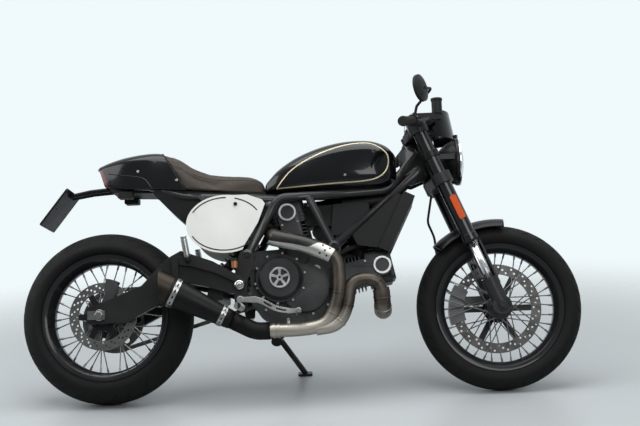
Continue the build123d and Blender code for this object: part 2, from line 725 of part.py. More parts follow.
# Engine: crankcase with lugs to the frame, two finned cylinders, and the cast covers.
CRANK = Vector(735, 0, 405)
CASE_HALF = 85
CASE_SIDE = [
    (515, 470), (512, 520), (560, 535), (640, 538), (700, 545), (792, 545), (803, 566), (866, 566), (866, 485),
    (888, 430), (888, 360), (850, 300), (800, 262), (640, 255), (575, 290), (538, 345), (536, 440),
]
case_block = slab(CASE_SIDE, -CASE_HALF, CASE_HALF, 10)
with BuildPart() as crankcase:
    add(case_block)
    with Locations(Location((GEARBOX.X, (CASE_HALF + CHAIN_Y) / 2, GEARBOX.Z), ACROSS)):
        Cylinder(16, CHAIN_Y - CASE_HALF + 8)
    with Locations(Location(GEARBOX, ACROSS)):
        Cylinder(GEARBOX_PITCH_R - ROLLER_R - 0.5, 6)

BARREL_FROM = 118
HEAD_FROM = 232
HEAD_TO = 326
BELT_FACE = 76
FIN_STEP = 13


def bank_plane(angle):
    """Plane on the crank, its normal along a cylinder, first coordinate to the left."""
    return Plane(origin=CRANK, x_dir=(0, 1, 0), z_dir=(cos(radians(angle)), 0, sin(radians(angle))))


def make_bank(angle, start):
    """Barrel with cooling fins and the head on its end."""
    base = bank_plane(angle)
    with BuildPart() as bank:
        with BuildSketch(base.offset(start)):
            RectangleRounded(108, 104, 30)
        extrude(amount=HEAD_FROM - start)
        count = int((HEAD_FROM - start - 14) // FIN_STEP)
        for fin in range(count):
            with BuildSketch(base.offset(start + 14 + fin * FIN_STEP)):
                RectangleRounded(140, 132, 26)
            extrude(amount=3.5)
        with BuildSketch(base.offset(HEAD_FROM)):
            RectangleRounded(144, 128, 18)
        extrude(amount=HEAD_TO - HEAD_FROM - 14)
        with BuildSketch(base.offset(HEAD_TO - 14)):
            RectangleRounded(150, 108, 14)
        extrude(amount=14)
        for fin in range(3):
            with BuildSketch(base.offset(HEAD_FROM + 8 + fin * FIN_STEP)):
                RectangleRounded(150, 140, 20)
            extrude(amount=3.5)
        add(crankcase.part, mode=Mode.SUBTRACT)
    return bank


def belt_cover(angle, cap_at):
    """Cover of a timing belt on the right side of a bank, with its round cap."""
    with BuildPart() as cover:
        with BuildSketch(bank_plane(angle) * Plane((-BELT_FACE, 0, 190), x_dir=(0, 0, 1), z_dir=(-1, 0, 0))):
            SlotCenterToCenter(2 * (cap_at - 190), 74)
        extrude(amount=26)
        with Locations(bank_plane(angle).location * Location((-BELT_FACE - 26, 0, cap_at), (0, -90, 0))):
            Cylinder(33, 3, align=RISING)
    return cover.part


FRONT_BANK = 12
REAR_BANK = 102
front_bank = make_bank(FRONT_BANK, BARREL_FROM)
rear_bank = make_bank(REAR_BANK, BARREL_FROM + 20)
CLUTCH = Vector(646, -CASE_HALF, 430)
CLUTCH_R = 87
CRANK_COVER_R = 86
right_covers = [belt_cover(FRONT_BANK, 287), belt_cover(REAR_BANK, 272)]
left_plate = slab(
    [(545, 350), (545, 455), (620, 470), (735, 478), (790, 440), (790, 360), (735, 322), (600, 330)],
    116, 124, 16,
)
left_block = slab(
    [(640, 345), (640, 470), (735, 478), (790, 440), (790, 360), (735, 322)], CASE_HALF, 118, 16,
)
with BuildPart() as engine_covers:
    for piece in right_covers:
        add(piece)
    with Locations(Location(CLUTCH, ACROSS)):
        Cylinder(CLUTCH_R, 34, align=RISING)
        with Locations((0, 0, 34)):
            Cone(CLUTCH_R - 6, CLUTCH_R - 18, 18, align=RISING)
    with Locations(Location((CRANK.X, -CASE_HALF, CRANK.Z - 12), ACROSS)):
        Cylinder(CRANK_COVER_R, 26, align=RISING)
    add(left_plate)
    add(left_block)
    add(front_bank.part, mode=Mode.SUBTRACT)
    add(rear_bank.part, mode=Mode.SUBTRACT)
    add(crankcase.part, mode=Mode.SUBTRACT)

store(frame, "frame")
store(crankcase, "crankcase")
store(front_bank, "front_cylinder")
store(rear_bank, "rear_cylinder")
store(engine_covers, "engine_covers")

# Exhaust: two headers into one pipe on the right, a fat elbow and a short muffler with a cut end.
HEADER_R = 24
PIPE_Y = -152
PIPE_Z = 240
rear_header = tube(
    [(614, 0, 653), (582, 0, 645), (606, -64, 612), (636, -156, 569), (740, -167, 542), (852, -164, 498),
     (856, -160, 404), (850, -157, 345), (820, PIPE_Y, 268), (750, PIPE_Y, PIPE_Z), (608, PIPE_Y, PIPE_Z)],
    HEADER_R, 26,
)
front_header = tube(
    [(1010, 0, 392), (1014, 0, 302), (1006, -130, 302), (1002, -146, 404), (904, -149, 404), (881, -150, 318),
     (848, -150, 258), (790, PIPE_Y, PIPE_Z)],
    HEADER_R + 1, 38,
)
with BuildPart() as headers:
    add(rear_header)
    add(front_header)
    with Locations(Location((630, PIPE_Y, PIPE_Z), (0, 90, 0))):
        Cylinder(HEADER_R + 3, 26)
    with Locations(Location((674, PIPE_Y, PIPE_Z + 18))):
        Cylinder(9, 24, align=RISING)
    add(front_bank.part, mode=Mode.SUBTRACT)
    add(rear_bank.part, mode=Mode.SUBTRACT)

SHIELD_R = HEADER_R + 5
shield_core = tube([(640, -156.4, 568), (740, -167, 542), (842, -164.3, 502)], SHIELD_R, 60)
shield_void = tube([(617, -154, 574), (740, -167, 542), (864, -163.7, 493.4)], SHIELD_R - 1.6, 60)
with BuildPart() as heat_shield:
    add(shield_core)
    add(shield_void, mode=Mode.SUBTRACT)
    with Locations((735, -140, 540)):
        Box(300, 40, 200, mode=Mode.SUBTRACT)
    with Locations((690, -184, 555), (806, -187, 516)):
        Box(12, 14, 20)
    add(headers.part, mode=Mode.SUBTRACT)

ELBOW = Vector(556, PIPE_Y, PIPE_Z)
MUFFLER_BACK = Vector(230, -216, 406)
MUFFLER_R = 53
MUFFLER_NECK_R = 33
muffler_way = (MUFFLER_BACK - ELBOW).normalized()
MUFFLER_FRONT = ELBOW + muffler_way * 95
MUFFLER_LONG = (MUFFLER_BACK - MUFFLER_FRONT).length
elbow = tube([(ELBOW.X + 52, PIPE_Y, PIPE_Z), ELBOW, MUFFLER_FRONT], 31, 90)
with BuildPart() as mid_pipe:
    add(elbow)

with BuildPart() as muffler:
    with BuildSketch(Plane(origin=MUFFLER_FRONT, z_dir=muffler_way)):
        Circle(MUFFLER_NECK_R)
    with BuildSketch(Plane(origin=MUFFLER_FRONT + muffler_way * (MUFFLER_LONG - 34), z_dir=muffler_way)):
        Circle(MUFFLER_R)
    loft()

with BuildPart() as muffler_cap:
    with BuildSketch(Plane(origin=MUFFLER_FRONT + muffler_way * (MUFFLER_LONG - 34), z_dir=muffler_way)):
        Circle(MUFFLER_R)
    with BuildSketch(Plane(origin=MUFFLER_FRONT + muffler_way * (MUFFLER_LONG + 40), z_dir=muffler_way)):
        Circle(MUFFLER_R + 2)
    loft()
    with Locations(Plane(origin=MUFFLER_BACK, z_dir=muffler_way)):
        Cylinder(24, 200, mode=Mode.SUBTRACT)
    with Locations((MUFFLER_BACK.X - 100, MUFFLER_BACK.Y, MUFFLER_BACK.Z)):
        Box(200, 200, 300, mode=Mode.SUBTRACT)


def strap(along):
    """Band round the muffler at a distance from its front."""
    size = MUFFLER_NECK_R + (MUFFLER_R - MUFFLER_NECK_R) * along / (MUFFLER_LONG - 34)
    with BuildPart() as band:
        with Locations(Plane(origin=MUFFLER_FRONT + muffler_way * along, z_dir=muffler_way)):
            Cylinder(size + 3.5, 22)
    return band.part


STRAP_AT = (36, 222)
straps = [strap(along) for along in STRAP_AT]
hanger = slab([(262, 405), (290, 392), (286, 512), (264, 512)], -169, -162, 4)
with BuildPart() as muffler_straps:
    for band in straps:
        add(band)
    add(hanger)
    add(muffler.part, mode=Mode.SUBTRACT)
    add(muffler_cap.part, mode=Mode.SUBTRACT)
    add(mid_pipe.part, mode=Mode.SUBTRACT)

store(headers, "exhaust_headers")
store(heat_shield, "heat_shield")
store(mid_pipe, "exhaust_elbow")
store(muffler, "muffler")
store(muffler_cap, "muffler_end_cap")
store(muffler_straps, "muffler_straps")

# Fuel tank: a loft of few sections from the nose at the seat to the steering head.
Section = namedtuple("Section", "x half low top round")
TANK = [
    Section(598, 74, 746, 786, 16), Section(650, 104, 746, 838, 34), Section(740, 134, 745, 889, 48),
    Section(860, 152, 744, 924, 56), Section(980, 150, 744, 930, 56), Section(1050, 124, 750, 911, 50),
    Section(1084, 92, 768, 878, 40),
]


def cross_section(x, middle):
    """Plane across the bike at a place along it, first coordinate to the left, second up."""
    return Plane(origin=(x, 0, middle), x_dir=(0, 1, 0), z_dir=(1, 0, 0))


with BuildPart() as tank:
    for part_at in TANK:
        tall = part_at.top - part_at.low
        with BuildSketch(cross_section(part_at.x, part_at.low + tall / 2)) as outline:
            Trapezoid(2 * part_at.half, tall, 82)
            fillet(outline.vertices(), part_at.round)
    loft()
    add(frame.part, mode=Mode.SUBTRACT)

CAP_SPOT = Vector(930, 0, 914)
with BuildPart() as fuel_cap:
    with Locations(CAP_SPOT):
        Cylinder(48, 16, align=RISING)
        with Locations((0, 0, 16)):
            Cone(44, 36, 5, align=RISING)
    add(tank.part, mode=Mode.SUBTRACT)

# Seat, tail cowl, tail light and the side covers under them.
TAIL = [
    Section(598, 64, 744, 794, 16), Section(560, 82, 744, 814, 22), Section(450, 110, 752, 821, 26),
    Section(390, 116, 758, 830, 28), Section(330, 118, 764, 856, 32), Section(272, 117, 770, 896, 38),
    Section(222, 114, 774, 918, 42), Section(163, 107, 778, 923, 42), Section(79, 88, 786, 916, 40),
    Section(14, 66, 798, 902, 34), Section(-34, 48, 812, 884, 24),
]
SEAM = Plane(origin=(262, 0, 846), x_dir=(0, 1, 0), z_dir=(0.859, 0, 0.512))
with BuildPart() as tail_body:
    for part_at in TAIL:
        tall = part_at.top - part_at.low
        with BuildSketch(cross_section(part_at.x, part_at.low + tall / 2)) as outline:
            Trapezoid(2 * part_at.half, tall, 82)
            fillet(outline.vertices().group_by(Axis.Y)[-1], part_at.round)
            fillet(outline.vertices().group_by(Axis.Y)[0], 10)
    loft()

with BuildPart() as seat:
    add(tail_body.part)
    split(bisect_by=SEAM, keep=Keep.TOP)
    add(tank.part, mode=Mode.SUBTRACT)

LIGHT_TOP = Vector(-20, 0, 894)
LIGHT_LOW = Vector(12, 0, 806)
behind = slab([(-90, 960), (LIGHT_TOP.X - 24, 960), (LIGHT_LOW.X + 24, 740), (-90, 740)], -120, 120)
with BuildPart() as cowl:
    add(tail_body.part)
    split(bisect_by=SEAM, keep=Keep.BOTTOM)
    add(behind, mode=Mode.SUBTRACT)
    add(frame.part, mode=Mode.SUBTRACT)

with BuildPart() as tail_light:
    add(slab([(-37, 888), (LIGHT_TOP.X, LIGHT_TOP.Z), (LIGHT_LOW.X, LIGHT_LOW.Z), (-8, 808)], -38, 38, 3))
    add(cowl.part, mode=Mode.SUBTRACT)

COVER_SIDE = [(168, 782), (240, 705), (300, 648), (430, 560), (530, 580), (600, 700), (606, 750), (330, 768)]
with BuildPart() as cover_blank:
    add(slab(COVER_SIDE, -104, 104, 14))
    add(seat.part, mode=Mode.SUBTRACT)
    add(cowl.part, mode=Mode.SUBTRACT)
    add(tank.part, mode=Mode.SUBTRACT)
    add(frame.part, mode=Mode.SUBTRACT)
    add(rear_shock.part, mode=Mode.SUBTRACT)
    add(headers.part, mode=Mode.SUBTRACT)
    add(rear_bank.part, mode=Mode.SUBTRACT)

with BuildPart() as side_covers:
    add(cover_blank.solids().sort_by(SortBy.VOLUME)[-1])

PLATE_SPOT = (455, 632)
PLATE_CUT = [(-160, -130), (45, -130), (70, -76), (119, 0), (146, 69), (135, 84), (60, 112), (-160, 112)]
with BuildPart() as number_plates:
    with BuildSketch(Plane.XZ.offset(-144).shift_origin((PLATE_SPOT[0], 144, PLATE_SPOT[1]))):
        Ellipse(142, 106)
        with Locations((74, 52)):
            Rectangle(148, 104)
        with BuildLine():
            Polyline(*PLATE_CUT, close=True)
        make_face(mode=Mode.INTERSECT)
    extrude(amount=5)
    for ahead, up in ((-30, 40), (-44, 62)):
        with Locations(Location((PLATE_SPOT[0] + ahead, 122, PLATE_SPOT[1] + up), ACROSS)):
            Cylinder(8, 38)
    mirror(about=Plane.XZ)
    add(side_covers.part, mode=Mode.SUBTRACT)
    add(frame.part, mode=Mode.SUBTRACT)

store(tank, "fuel_tank")
store(fuel_cap, "fuel_cap")
store(seat, "seat")
store(cowl, "tail_cowl")
store(tail_light, "tail_light")
store(side_covers, "side_covers")
store(number_plates, "number_plates")

# Plate holder behind the tail, with the bare plate's two screw holes, and the rear indicators.
HOLDER_TOP = Vector(-132, 0, 798)
HOLDER_LOW = Vector(-235, 0, 665)
holder_way = (HOLDER_LOW - HOLDER_TOP).normalized()
holder_middle = (HOLDER_TOP + HOLDER_LOW) * 0.5
holder_face = Plane(origin=holder_middle, x_dir=(0, 1, 0), z_dir=(holder_way.Z, 0, -holder_way.X))
HOLDER_HALF = 90
SCREW_GAP = 120
HOLDER_ARM = [Vector(46, 30, 800), Vector(-60, 26, 793), Vector(-142, 20, 779)]
holder_arm = [tube(HOLDER_ARM, 8, 60), tube([other_side(point) for point in HOLDER_ARM], 8, 60)]
with BuildPart() as plate_holder:
    with BuildSketch(holder_face):
        RectangleRounded(2 * HOLDER_HALF, (HOLDER_LOW - HOLDER_TOP).length, 10)
        with GridLocations(SCREW_GAP, 0, 2, 1):
            Circle(3.3, mode=Mode.SUBTRACT)
    extrude(amount=4, both=True)
    for arm in holder_arm:
        add(arm)
    add(cowl.part, mode=Mode.SUBTRACT)
    add(tail_light.part, mode=Mode.SUBTRACT)

INDICATOR = Vector(79, 62, 766)
indicator_stem = tube([INDICATOR + Vector(0, -14, 34), INDICATOR], 7, 0)
with BuildPart() as indicators:
    with Locations(INDICATOR):
        Box(54, 36, 24)
    fillet(indicators.edges().filter_by(Axis.Y), 6)
    add(indicator_stem)
    mirror(about=Plane.XZ)
    add(cowl.part, mode=Mode.SUBTRACT)
    add(frame.part, mode=Mode.SUBTRACT)

# Oil cooler ahead of the engine and the electrics box inside the trellis.
COOLER_X = 1083
BOX_FRONT = 978
SHROUD_SIDE = [(1122, 712), (1080, 724), (912, 577), (930, 540), (1024, 524)]
shroud = [slab(SHROUD_SIDE, 92, 106, 6), slab(SHROUD_SIDE, -106, -92, 6)]
with BuildPart() as oil_cooler:
    for side_plate in shroud:
        add(side_plate)
    with Locations(Location((COOLER_X, 0, 634), (0, 26.7, 0))):
        Box(40, 210, 180)
        with Locations(*[(0, side * 112, -18) for side in SIDES]):
            Box(44, 22, 226)
    with Locations(((COOLER_X + BOX_FRONT) / 2, 0, 650)):
        Box(COOLER_X - BOX_FRONT, 24, 20)
    add(frame.part, mode=Mode.SUBTRACT)
    add(front_bank.part, mode=Mode.SUBTRACT)
    add(engine_covers.part, mode=Mode.SUBTRACT)

box_front = slab([(834, 582), (846, 700), (BOX_FRONT, 700), (BOX_FRONT, 640), (930, 590)], -75, 75, 10)
box_back = slab([(745, 625), (745, 696), (850, 700), (850, 620)], -60, 60, 8)
with BuildPart() as electrics:
    add(box_front)
    add(box_back)
    add(frame.part, mode=Mode.SUBTRACT)
    add(rear_bank.part, mode=Mode.SUBTRACT)
    add(engine_covers.part, mode=Mode.SUBTRACT)

store(plate_holder, "plate_holder")
store(indicators, "rear_indicators")
store(oil_cooler, "oil_cooler")
store(electrics, "electrics_box")

# Footrests: a hanger plate each side with the rider's peg, the passenger peg on an arm, and the pedals.
HANGER_SIDE = [
    (508, 528), (558, 516), (556, 480), (530, 420), (530, 350), (528, 310), (494, 306), (484, 350), (482, 430),
]
PASSENGER_SIDE = [
    (502, 442), (526, 422), (520, 402), (420, 452), (334, 480), (256, 492), (258, 516), (330, 522), (420, 484),
]
hanger_plate = slab(HANGER_SIDE, 150, 156, 8)
passenger_arm = slab(PASSENGER_SIDE, 156, 162, 6)
peg = tube([(511, 153, 324), (505, 262, 324)], 11, 0)
passenger_peg = tube([(322, 158, 500), (322, 174, 500), (308, 178, 584)], 9, 12)
with BuildPart() as footrests:
    add(hanger_plate)
    add(passenger_arm)
    add(peg)
    add(passenger_peg)
    with Locations(Location((PIVOT.X, 160, PIVOT.Z), ACROSS)):
        Cylinder(18, 10)
    mirror(about=Plane.XZ)

pedal = tube([(505, -170, 352), (570, -172, 350), (642, -176, 314), (714, -178, 305)], 7, 30)
pedal_pad = tube([(714, -165, 305), (714, -215, 305)], 9, 0)
shifter = tube([(505, 170, 352), (560, 172, 347), (640, 176, 334), (690, 178, 332)], 6, 30)
shifter_pad = tube([(690, 172, 332), (690, 222, 332)], 9, 0)
with BuildPart() as foot_controls:
    add(pedal)
    add(pedal_pad)
    add(shifter)
    add(shifter_pad)
    with Locations(*[Location((507, side * 166, 352), ACROSS) for side in SIDES]):
        Cylinder(12, 20)
    add(footrests.part, mode=Mode.SUBTRACT)

# Rear caliper over the disc, on a bracket from the axle.
with BuildPart() as rear_caliper:
    with BuildSketch(Plane.XZ.offset(85).shift_origin(axle_point(REAR, -85))):
        Circle(136)
        Circle(92, mode=Mode.SUBTRACT)
        with BuildLine():
            Polyline((0, 0), (30, 300), (150, 300), close=True)
        make_face(mode=Mode.INTERSECT)
    extrude(amount=32)
    with Locations(Location(axle_point(REAR, -100), ACROSS)):
        Cylinder(130, 12, mode=Mode.SUBTRACT)
    with BuildSketch(Plane.XZ.offset(110).shift_origin(axle_point(REAR, -110))):
        with BuildLine():
            Polyline((-22, 0), (22, 0), (60, 110), (24, 116), close=True)
        make_face()
        Circle(30)
        Circle(20, mode=Mode.SUBTRACT)
    extrude(amount=7)
    add(rear_axle.part, mode=Mode.SUBTRACT)
    add(swingarm.part, mode=Mode.SUBTRACT)

store(footrests, "footrests")
store(foot_controls, "foot_controls")
store(rear_caliper, "rear_caliper")

# Side stand on the left, drawn open: its foot rests on the floor of the leaned bike.
STAND_PIVOT = Vector(612, 128, 238)
FOOT_X = 704
FOOT_OUT = 352
FOOT_THICK = 10
foot_up = radians(LEAN)
foot_centre = Vector(FOOT_X, FOOT_OUT * cos(foot_up), FOOT_OUT * sin(foot_up))
floor_up = Vector(0, -sin(foot_up), cos(foot_up))
foot_plane = Plane(origin=foot_centre, x_dir=(1, 0, 0), z_dir=floor_up)
leg_end = foot_centre + floor_up * FOOT_THICK
STAND_TILT = 37
stand_way = Vector(0, cos(radians(STAND_TILT)), sin(radians(STAND_TILT)))
pivot_plane = Plane(origin=STAND_PIVOT, x_dir=(1, 0, 0), z_dir=stand_way)
PIN_R = 8
EYE_HALF = 6
leg = tube([STAND_PIVOT + Vector(8, 8, -10), STAND_PIVOT + Vector(46, 62, -66), leg_end], 11, 60)
with BuildPart() as side_stand:
    add(leg)
    with Locations(pivot_plane):
        Cylinder(20, 2 * EYE_HALF)
    with BuildSketch(foot_plane):
        RectangleRounded(56, 42, 12)
    extrude(amount=FOOT_THICK)
    with Locations(pivot_plane):
        Cylinder(PIN_R + RUNNING, 60, mode=Mode.SUBTRACT)
        with Locations((0, 0, -EYE_HALF)):
            Cylinder(26, 60, align=(Align.CENTER, Align.CENTER, Align.MAX), mode=Mode.SUBTRACT)
        with Locations((0, 0, EYE_HALF)):
            Cylinder(15, 60, align=RISING, mode=Mode.SUBTRACT)

with BuildPart() as stand_bracket:
    with Locations((612, 92.5, 264)):
        Box(56, 15, 76)
    with Locations(pivot_plane):
        with Locations((0, 0, -EYE_HALF - 0.6)):
            Cylinder(21, 34, align=(Align.CENTER, Align.CENTER, Align.MAX))
            Cylinder(PIN_R, 2 * EYE_HALF + 1.2, align=RISING)
        with Locations((0, 0, EYE_HALF + 0.6)):
            Cylinder(13, 5, align=RISING)
    add(crankcase.part, mode=Mode.SUBTRACT)

store(side_stand, "side_stand")
store(stand_bracket, "stand_bracket")
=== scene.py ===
import bmesh
import bpy
import json
from math import atan2, cos, pi, radians, sin, sqrt, tan
from mathutils import Matrix, Vector
from mathutils.bvhtree import BVHTree


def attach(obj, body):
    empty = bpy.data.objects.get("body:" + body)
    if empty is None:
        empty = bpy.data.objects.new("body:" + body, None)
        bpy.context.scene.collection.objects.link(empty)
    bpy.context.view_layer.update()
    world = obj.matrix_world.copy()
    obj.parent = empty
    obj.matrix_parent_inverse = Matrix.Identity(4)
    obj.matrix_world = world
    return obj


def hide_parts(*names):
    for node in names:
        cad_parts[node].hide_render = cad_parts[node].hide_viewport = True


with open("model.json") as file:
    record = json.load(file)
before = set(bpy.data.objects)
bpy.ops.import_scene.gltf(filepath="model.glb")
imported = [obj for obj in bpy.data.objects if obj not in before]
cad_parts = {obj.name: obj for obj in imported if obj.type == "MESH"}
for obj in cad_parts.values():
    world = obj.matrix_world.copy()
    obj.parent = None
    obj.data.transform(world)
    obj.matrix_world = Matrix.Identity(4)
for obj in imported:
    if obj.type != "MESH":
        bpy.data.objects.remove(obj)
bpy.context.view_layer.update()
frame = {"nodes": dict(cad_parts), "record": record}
scene = bpy.context.scene
scene.view_settings.view_transform = "Standard"

# Camera: a short telephoto lens on the bike's right, level with its tank and tipped a little down.
# It stands about four metres off and is rolled slightly, as the picture was taken.
FOCAL_PIXELS, PICTURE_WIDTH, SENSOR = 1100, 640, 36.0
CAMERA_PLACE = Vector((0.1955, -4.1419, 1.037))
YAW, PITCH, ROLL = radians(-1.55), radians(5.29), radians(-2.59)
camera_data = bpy.data.cameras.new("camera")
camera_data.sensor_width = SENSOR
camera_data.lens = FOCAL_PIXELS / PICTURE_WIDTH * SENSOR
camera = bpy.data.objects.new("camera", camera_data)
scene.collection.objects.link(camera)
ahead = Vector((sin(YAW) * cos(PITCH), cos(YAW) * cos(PITCH), -sin(PITCH)))
level = Vector((cos(YAW), -sin(YAW), 0))
upright = level.cross(ahead)
camera_right = level * cos(ROLL) + upright * sin(ROLL)
camera_up = upright * cos(ROLL) - level * sin(ROLL)
pose = Matrix((camera_right, camera_up, -ahead)).transposed().to_4x4()
pose.translation = CAMERA_PLACE
camera.matrix_world = pose
scene.camera = camera

# Studio: a grey floor that fades out into a surround, white behind the bike and dimmer on the camera's side.
# The camera, gloss and glass see the surround, but it lights the bike only a little.
# The light comes from three broad soft boxes.
FLOOR_HALF, FADE_FROM, FADE_TO, FLOOR_ROUGH = 14.0, 1.1, 3.6, 0.42
FLOOR_GREY, SURROUND_WHITE = (0.44, 0.465, 0.48, 1), (0.87, 0.945, 0.965, 1)
FILL_LIGHT, NEAR_SIDE, FAR_SIDE, SIDE_FROM, SIDE_TO = 0.17, 0.34, 1.0, -0.7, 0.6
LAMP_AIM = Vector((0.0, 0.0, 0.45))


def add_node(tree, kind, sockets=None, **settings):
    """Adds a node; each socket is fed by another node's output or set to a value."""
    node = tree.nodes.new(kind)
    for setting, value in settings.items():
        setattr(node, setting, value)
    for socket, value in (sockets or {}).items():
        if isinstance(value, bpy.types.NodeSocket):
            tree.links.new(value, node.inputs[socket])
        else:
            node.inputs[socket].default_value = value
    return node


def new_material(name, sockets):
    """A material with some of its shader's own sockets set, its node tree and its shader."""
    material = bpy.data.materials.new(name)
    material.use_nodes = True
    shader = material.node_tree.nodes["Principled BSDF"]
    for socket, value in sockets.items():
        shader.inputs[socket].default_value = value
    return material, material.node_tree, shader


surround = bpy.data.worlds.new("surround")
scene.world = surround
surround.use_nodes = True
sky = surround.node_tree
rays = add_node(sky, "ShaderNodeLightPath").outputs
seen = rays["Is Camera Ray"]
for ray in ("Is Glossy Ray", "Is Transmission Ray"):
    seen = add_node(sky, "ShaderNodeMath", {0: seen, 1: rays[ray]}, operation="ADD", use_clamp=True).outputs[0]
heading = add_node(
    sky, "ShaderNodeSeparateXYZ", {0: add_node(sky, "ShaderNodeTexCoord").outputs["Generated"]}
)
side_fade = add_node(
    sky, "ShaderNodeMapRange",
    {"Value": heading.outputs["Y"], "From Min": SIDE_FROM, "From Max": SIDE_TO,
     "To Min": NEAR_SIDE, "To Max": FAR_SIDE},
    interpolation_type="SMOOTHSTEP",
).outputs[0]
sky_level = add_node(sky, "ShaderNodeMapRange", {"Value": seen, "To Min": FILL_LIGHT, "To Max": side_fade})
sky.nodes["Background"].inputs["Color"].default_value = SURROUND_WHITE
sky.links.new(sky_level.outputs[0], sky.nodes["Background"].inputs["Strength"])

floor_mesh = bpy.data.meshes.new("studio_floor")
floor_corners = [(x * FLOOR_HALF, y * FLOOR_HALF, 0) for x, y in ((-1, -1), (1, -1), (1, 1), (-1, 1))]
floor_mesh.from_pydata(floor_corners, [], [(0, 1, 2, 3)])
studio_paint, paint_tree, paint_shader = new_material(
    "studio_paint", {"Base Color": FLOOR_GREY, "Roughness": FLOOR_ROUGH}
)
floor_place = add_node(paint_tree, "ShaderNodeTexCoord").outputs["Object"]
away = add_node(paint_tree, "ShaderNodeVectorMath", {0: floor_place}, operation="LENGTH").outputs["Value"]
floor_fade = add_node(
    paint_tree, "ShaderNodeMapRange", {"Value": away, "From Min": FADE_FROM, "From Max": FADE_TO},
    interpolation_type="SMOOTHSTEP",
).outputs[0]
clear = add_node(paint_tree, "ShaderNodeBsdfTransparent").outputs[0]
floor_mix = add_node(paint_tree, "ShaderNodeMixShader", {0: floor_fade, 1: paint_shader.outputs[0], 2: clear})
paint_tree.links.new(floor_mix.outputs[0], paint_tree.nodes["Material Output"].inputs["Surface"])
floor_mesh.materials.append(studio_paint)
studio_floor = bpy.data.objects.new("studio_floor", floor_mesh)
scene.collection.objects.link(studio_floor)

for lamp_name, lamp_place, lamp_size, lamp_power in (
    ("top_box", (0.1, -0.4, 3.3), (4.2, 2.4), 120),
    ("right_box", (1.6, -3.4, 2.4), (2.2, 1.8), 56),
    ("rear_box", (-2.7, -0.4, 1.9), (1.6, 1.6), 26),
):
    lamp_data = bpy.data.lights.new(lamp_name, "AREA")
    lamp_data.shape = "RECTANGLE"
    lamp_data.size, lamp_data.size_y = lamp_size
    lamp_data.energy = lamp_power
    soft_box = bpy.data.objects.new(lamp_name, lamp_data)
    scene.collection.objects.link(soft_box)
    soft_box.location = lamp_place
    soft_box.rotation_euler = (LAMP_AIM - Vector(lamp_place)).to_track_quat("-Z", "Y").to_euler()

# Tyres: sport tyres with diagonal rain grooves that leave a plain strip round the crown.
# They are moulded rubber, drawn upright in millimetres from the rear axle's foot and then leaned.
LEAN, ORIGIN_X, ORIGIN_Y = radians(15), 710.5, 223.94
WHEELBASE, MM = 1436, 0.001
PARK = (
    Matrix.Translation((-ORIGIN_X * MM, -ORIGIN_Y * MM, 0))
    @ Matrix.Rotation(-LEAN, 4, "X")
    @ Matrix.Scale(MM, 4)
)
FORWARD, LEFT, UP = Vector((1, 0, 0)), Vector((0, 1, 0)), Vector((0, 0, 1))
REAR_AXLE = Vector((0, 0, 315 + 95 * (1 / cos(LEAN) - 1)))
FRONT_AXLE = Vector((WHEELBASE, 0, 300 + 62 * (1 / cos(LEAN) - 1)))


DARK_BELOW, DARK_GLOSS, PLAIN_GLOSS = 0.07, 0.16, 0.5
DRIFT_SPAN, COAT_ROUGH = (0.3, 0.7), 0.05


def finish(
    name, colour, rough, metal=0.0, coat=0.0, tone=0.25, blotch=9.0, grain=420.0, bump=0.05, spread=0.08
):
    """A surface whose colour and gloss drift over the piece, with a fine grain."""
    material, tree, shader = new_material(name, {
        "Metallic": metal, "Specular IOR Level": DARK_GLOSS if max(colour) < DARK_BELOW else PLAIN_GLOSS,
        "Coat Weight": coat, "Coat Roughness": COAT_ROUGH,
    })
    place = add_node(tree, "ShaderNodeTexCoord").outputs["Object"]
    drift = add_node(tree, "ShaderNodeTexNoise", {"Scale": blotch, "Detail": 6, "Vector": place}).outputs["Fac"]
    shades = add_node(tree, "ShaderNodeValToRGB", {0: drift})
    for stop, at, change in zip(shades.color_ramp.elements, DRIFT_SPAN, (1 - tone, 1 + tone)):
        stop.position = at
        stop.color = (*[min(1, c * change) for c in colour], 1)
    gloss = add_node(tree, "ShaderNodeMapRange", {
        "Value": drift, "From Min": DRIFT_SPAN[0], "From Max": DRIFT_SPAN[1],
        "To Min": max(0.02, rough - spread), "To Max": min(1.0, rough + spread),
    })
    pores = add_node(tree, "ShaderNodeTexNoise", {"Scale": grain, "Detail": 3, "Vector": place}).outputs["Fac"]
    relief = add_node(tree, "ShaderNodeBump", {"Strength": bump, "Distance": 0.001, "Height": pores})
    for socket, source in (("Base Color", shades), ("Roughness", gloss), ("Normal", relief)):
        tree.links.new(source.outputs[0], shader.inputs[socket])
    return material


def smooth_object(name, bm, crease, material=None):
    """An object with smooth faces and sharp creases; it uses up its bmesh."""
    mesh = bpy.data.meshes.new(name)
    bm.to_mesh(mesh)
    bm.free()
    mesh.polygons.foreach_set("use_smooth", [True] * len(mesh.polygons))
    mesh.set_sharp_from_angle(angle=radians(crease))
    if material:
        mesh.materials.append(material)
    made = bpy.data.objects.new(name, mesh)
    scene.collection.objects.link(made)
    return made


def settle(made, body, stands_for=()):
    """Lets a finished object ride on a body, in place of the solids it stands for."""
    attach(made, body)
    if stands_for:
        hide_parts(*stands_for)
    return made


def piece(name, bm, material, body, stands_for=(), crease=35):
    """Turns a mesh drawn upright in millimetres into a finished piece that rides on a body."""
    bmesh.ops.remove_doubles(bm, verts=bm.verts, dist=0.01)
    bmesh.ops.recalc_face_normals(bm, faces=bm.faces)
    bm.transform(PARK)
    return settle(smooth_object(name, bm, crease, material), body, stands_for)


def across(axis):
    """Two directions square to an axis and to each other."""
    axis = axis.normalized()
    first = Vector((1, 0, 0)) if abs(axis.x) < 0.9 else Vector((0, 0, 1))
    first = (first - axis * first.dot(axis)).normalized()
    return first, axis.cross(first)


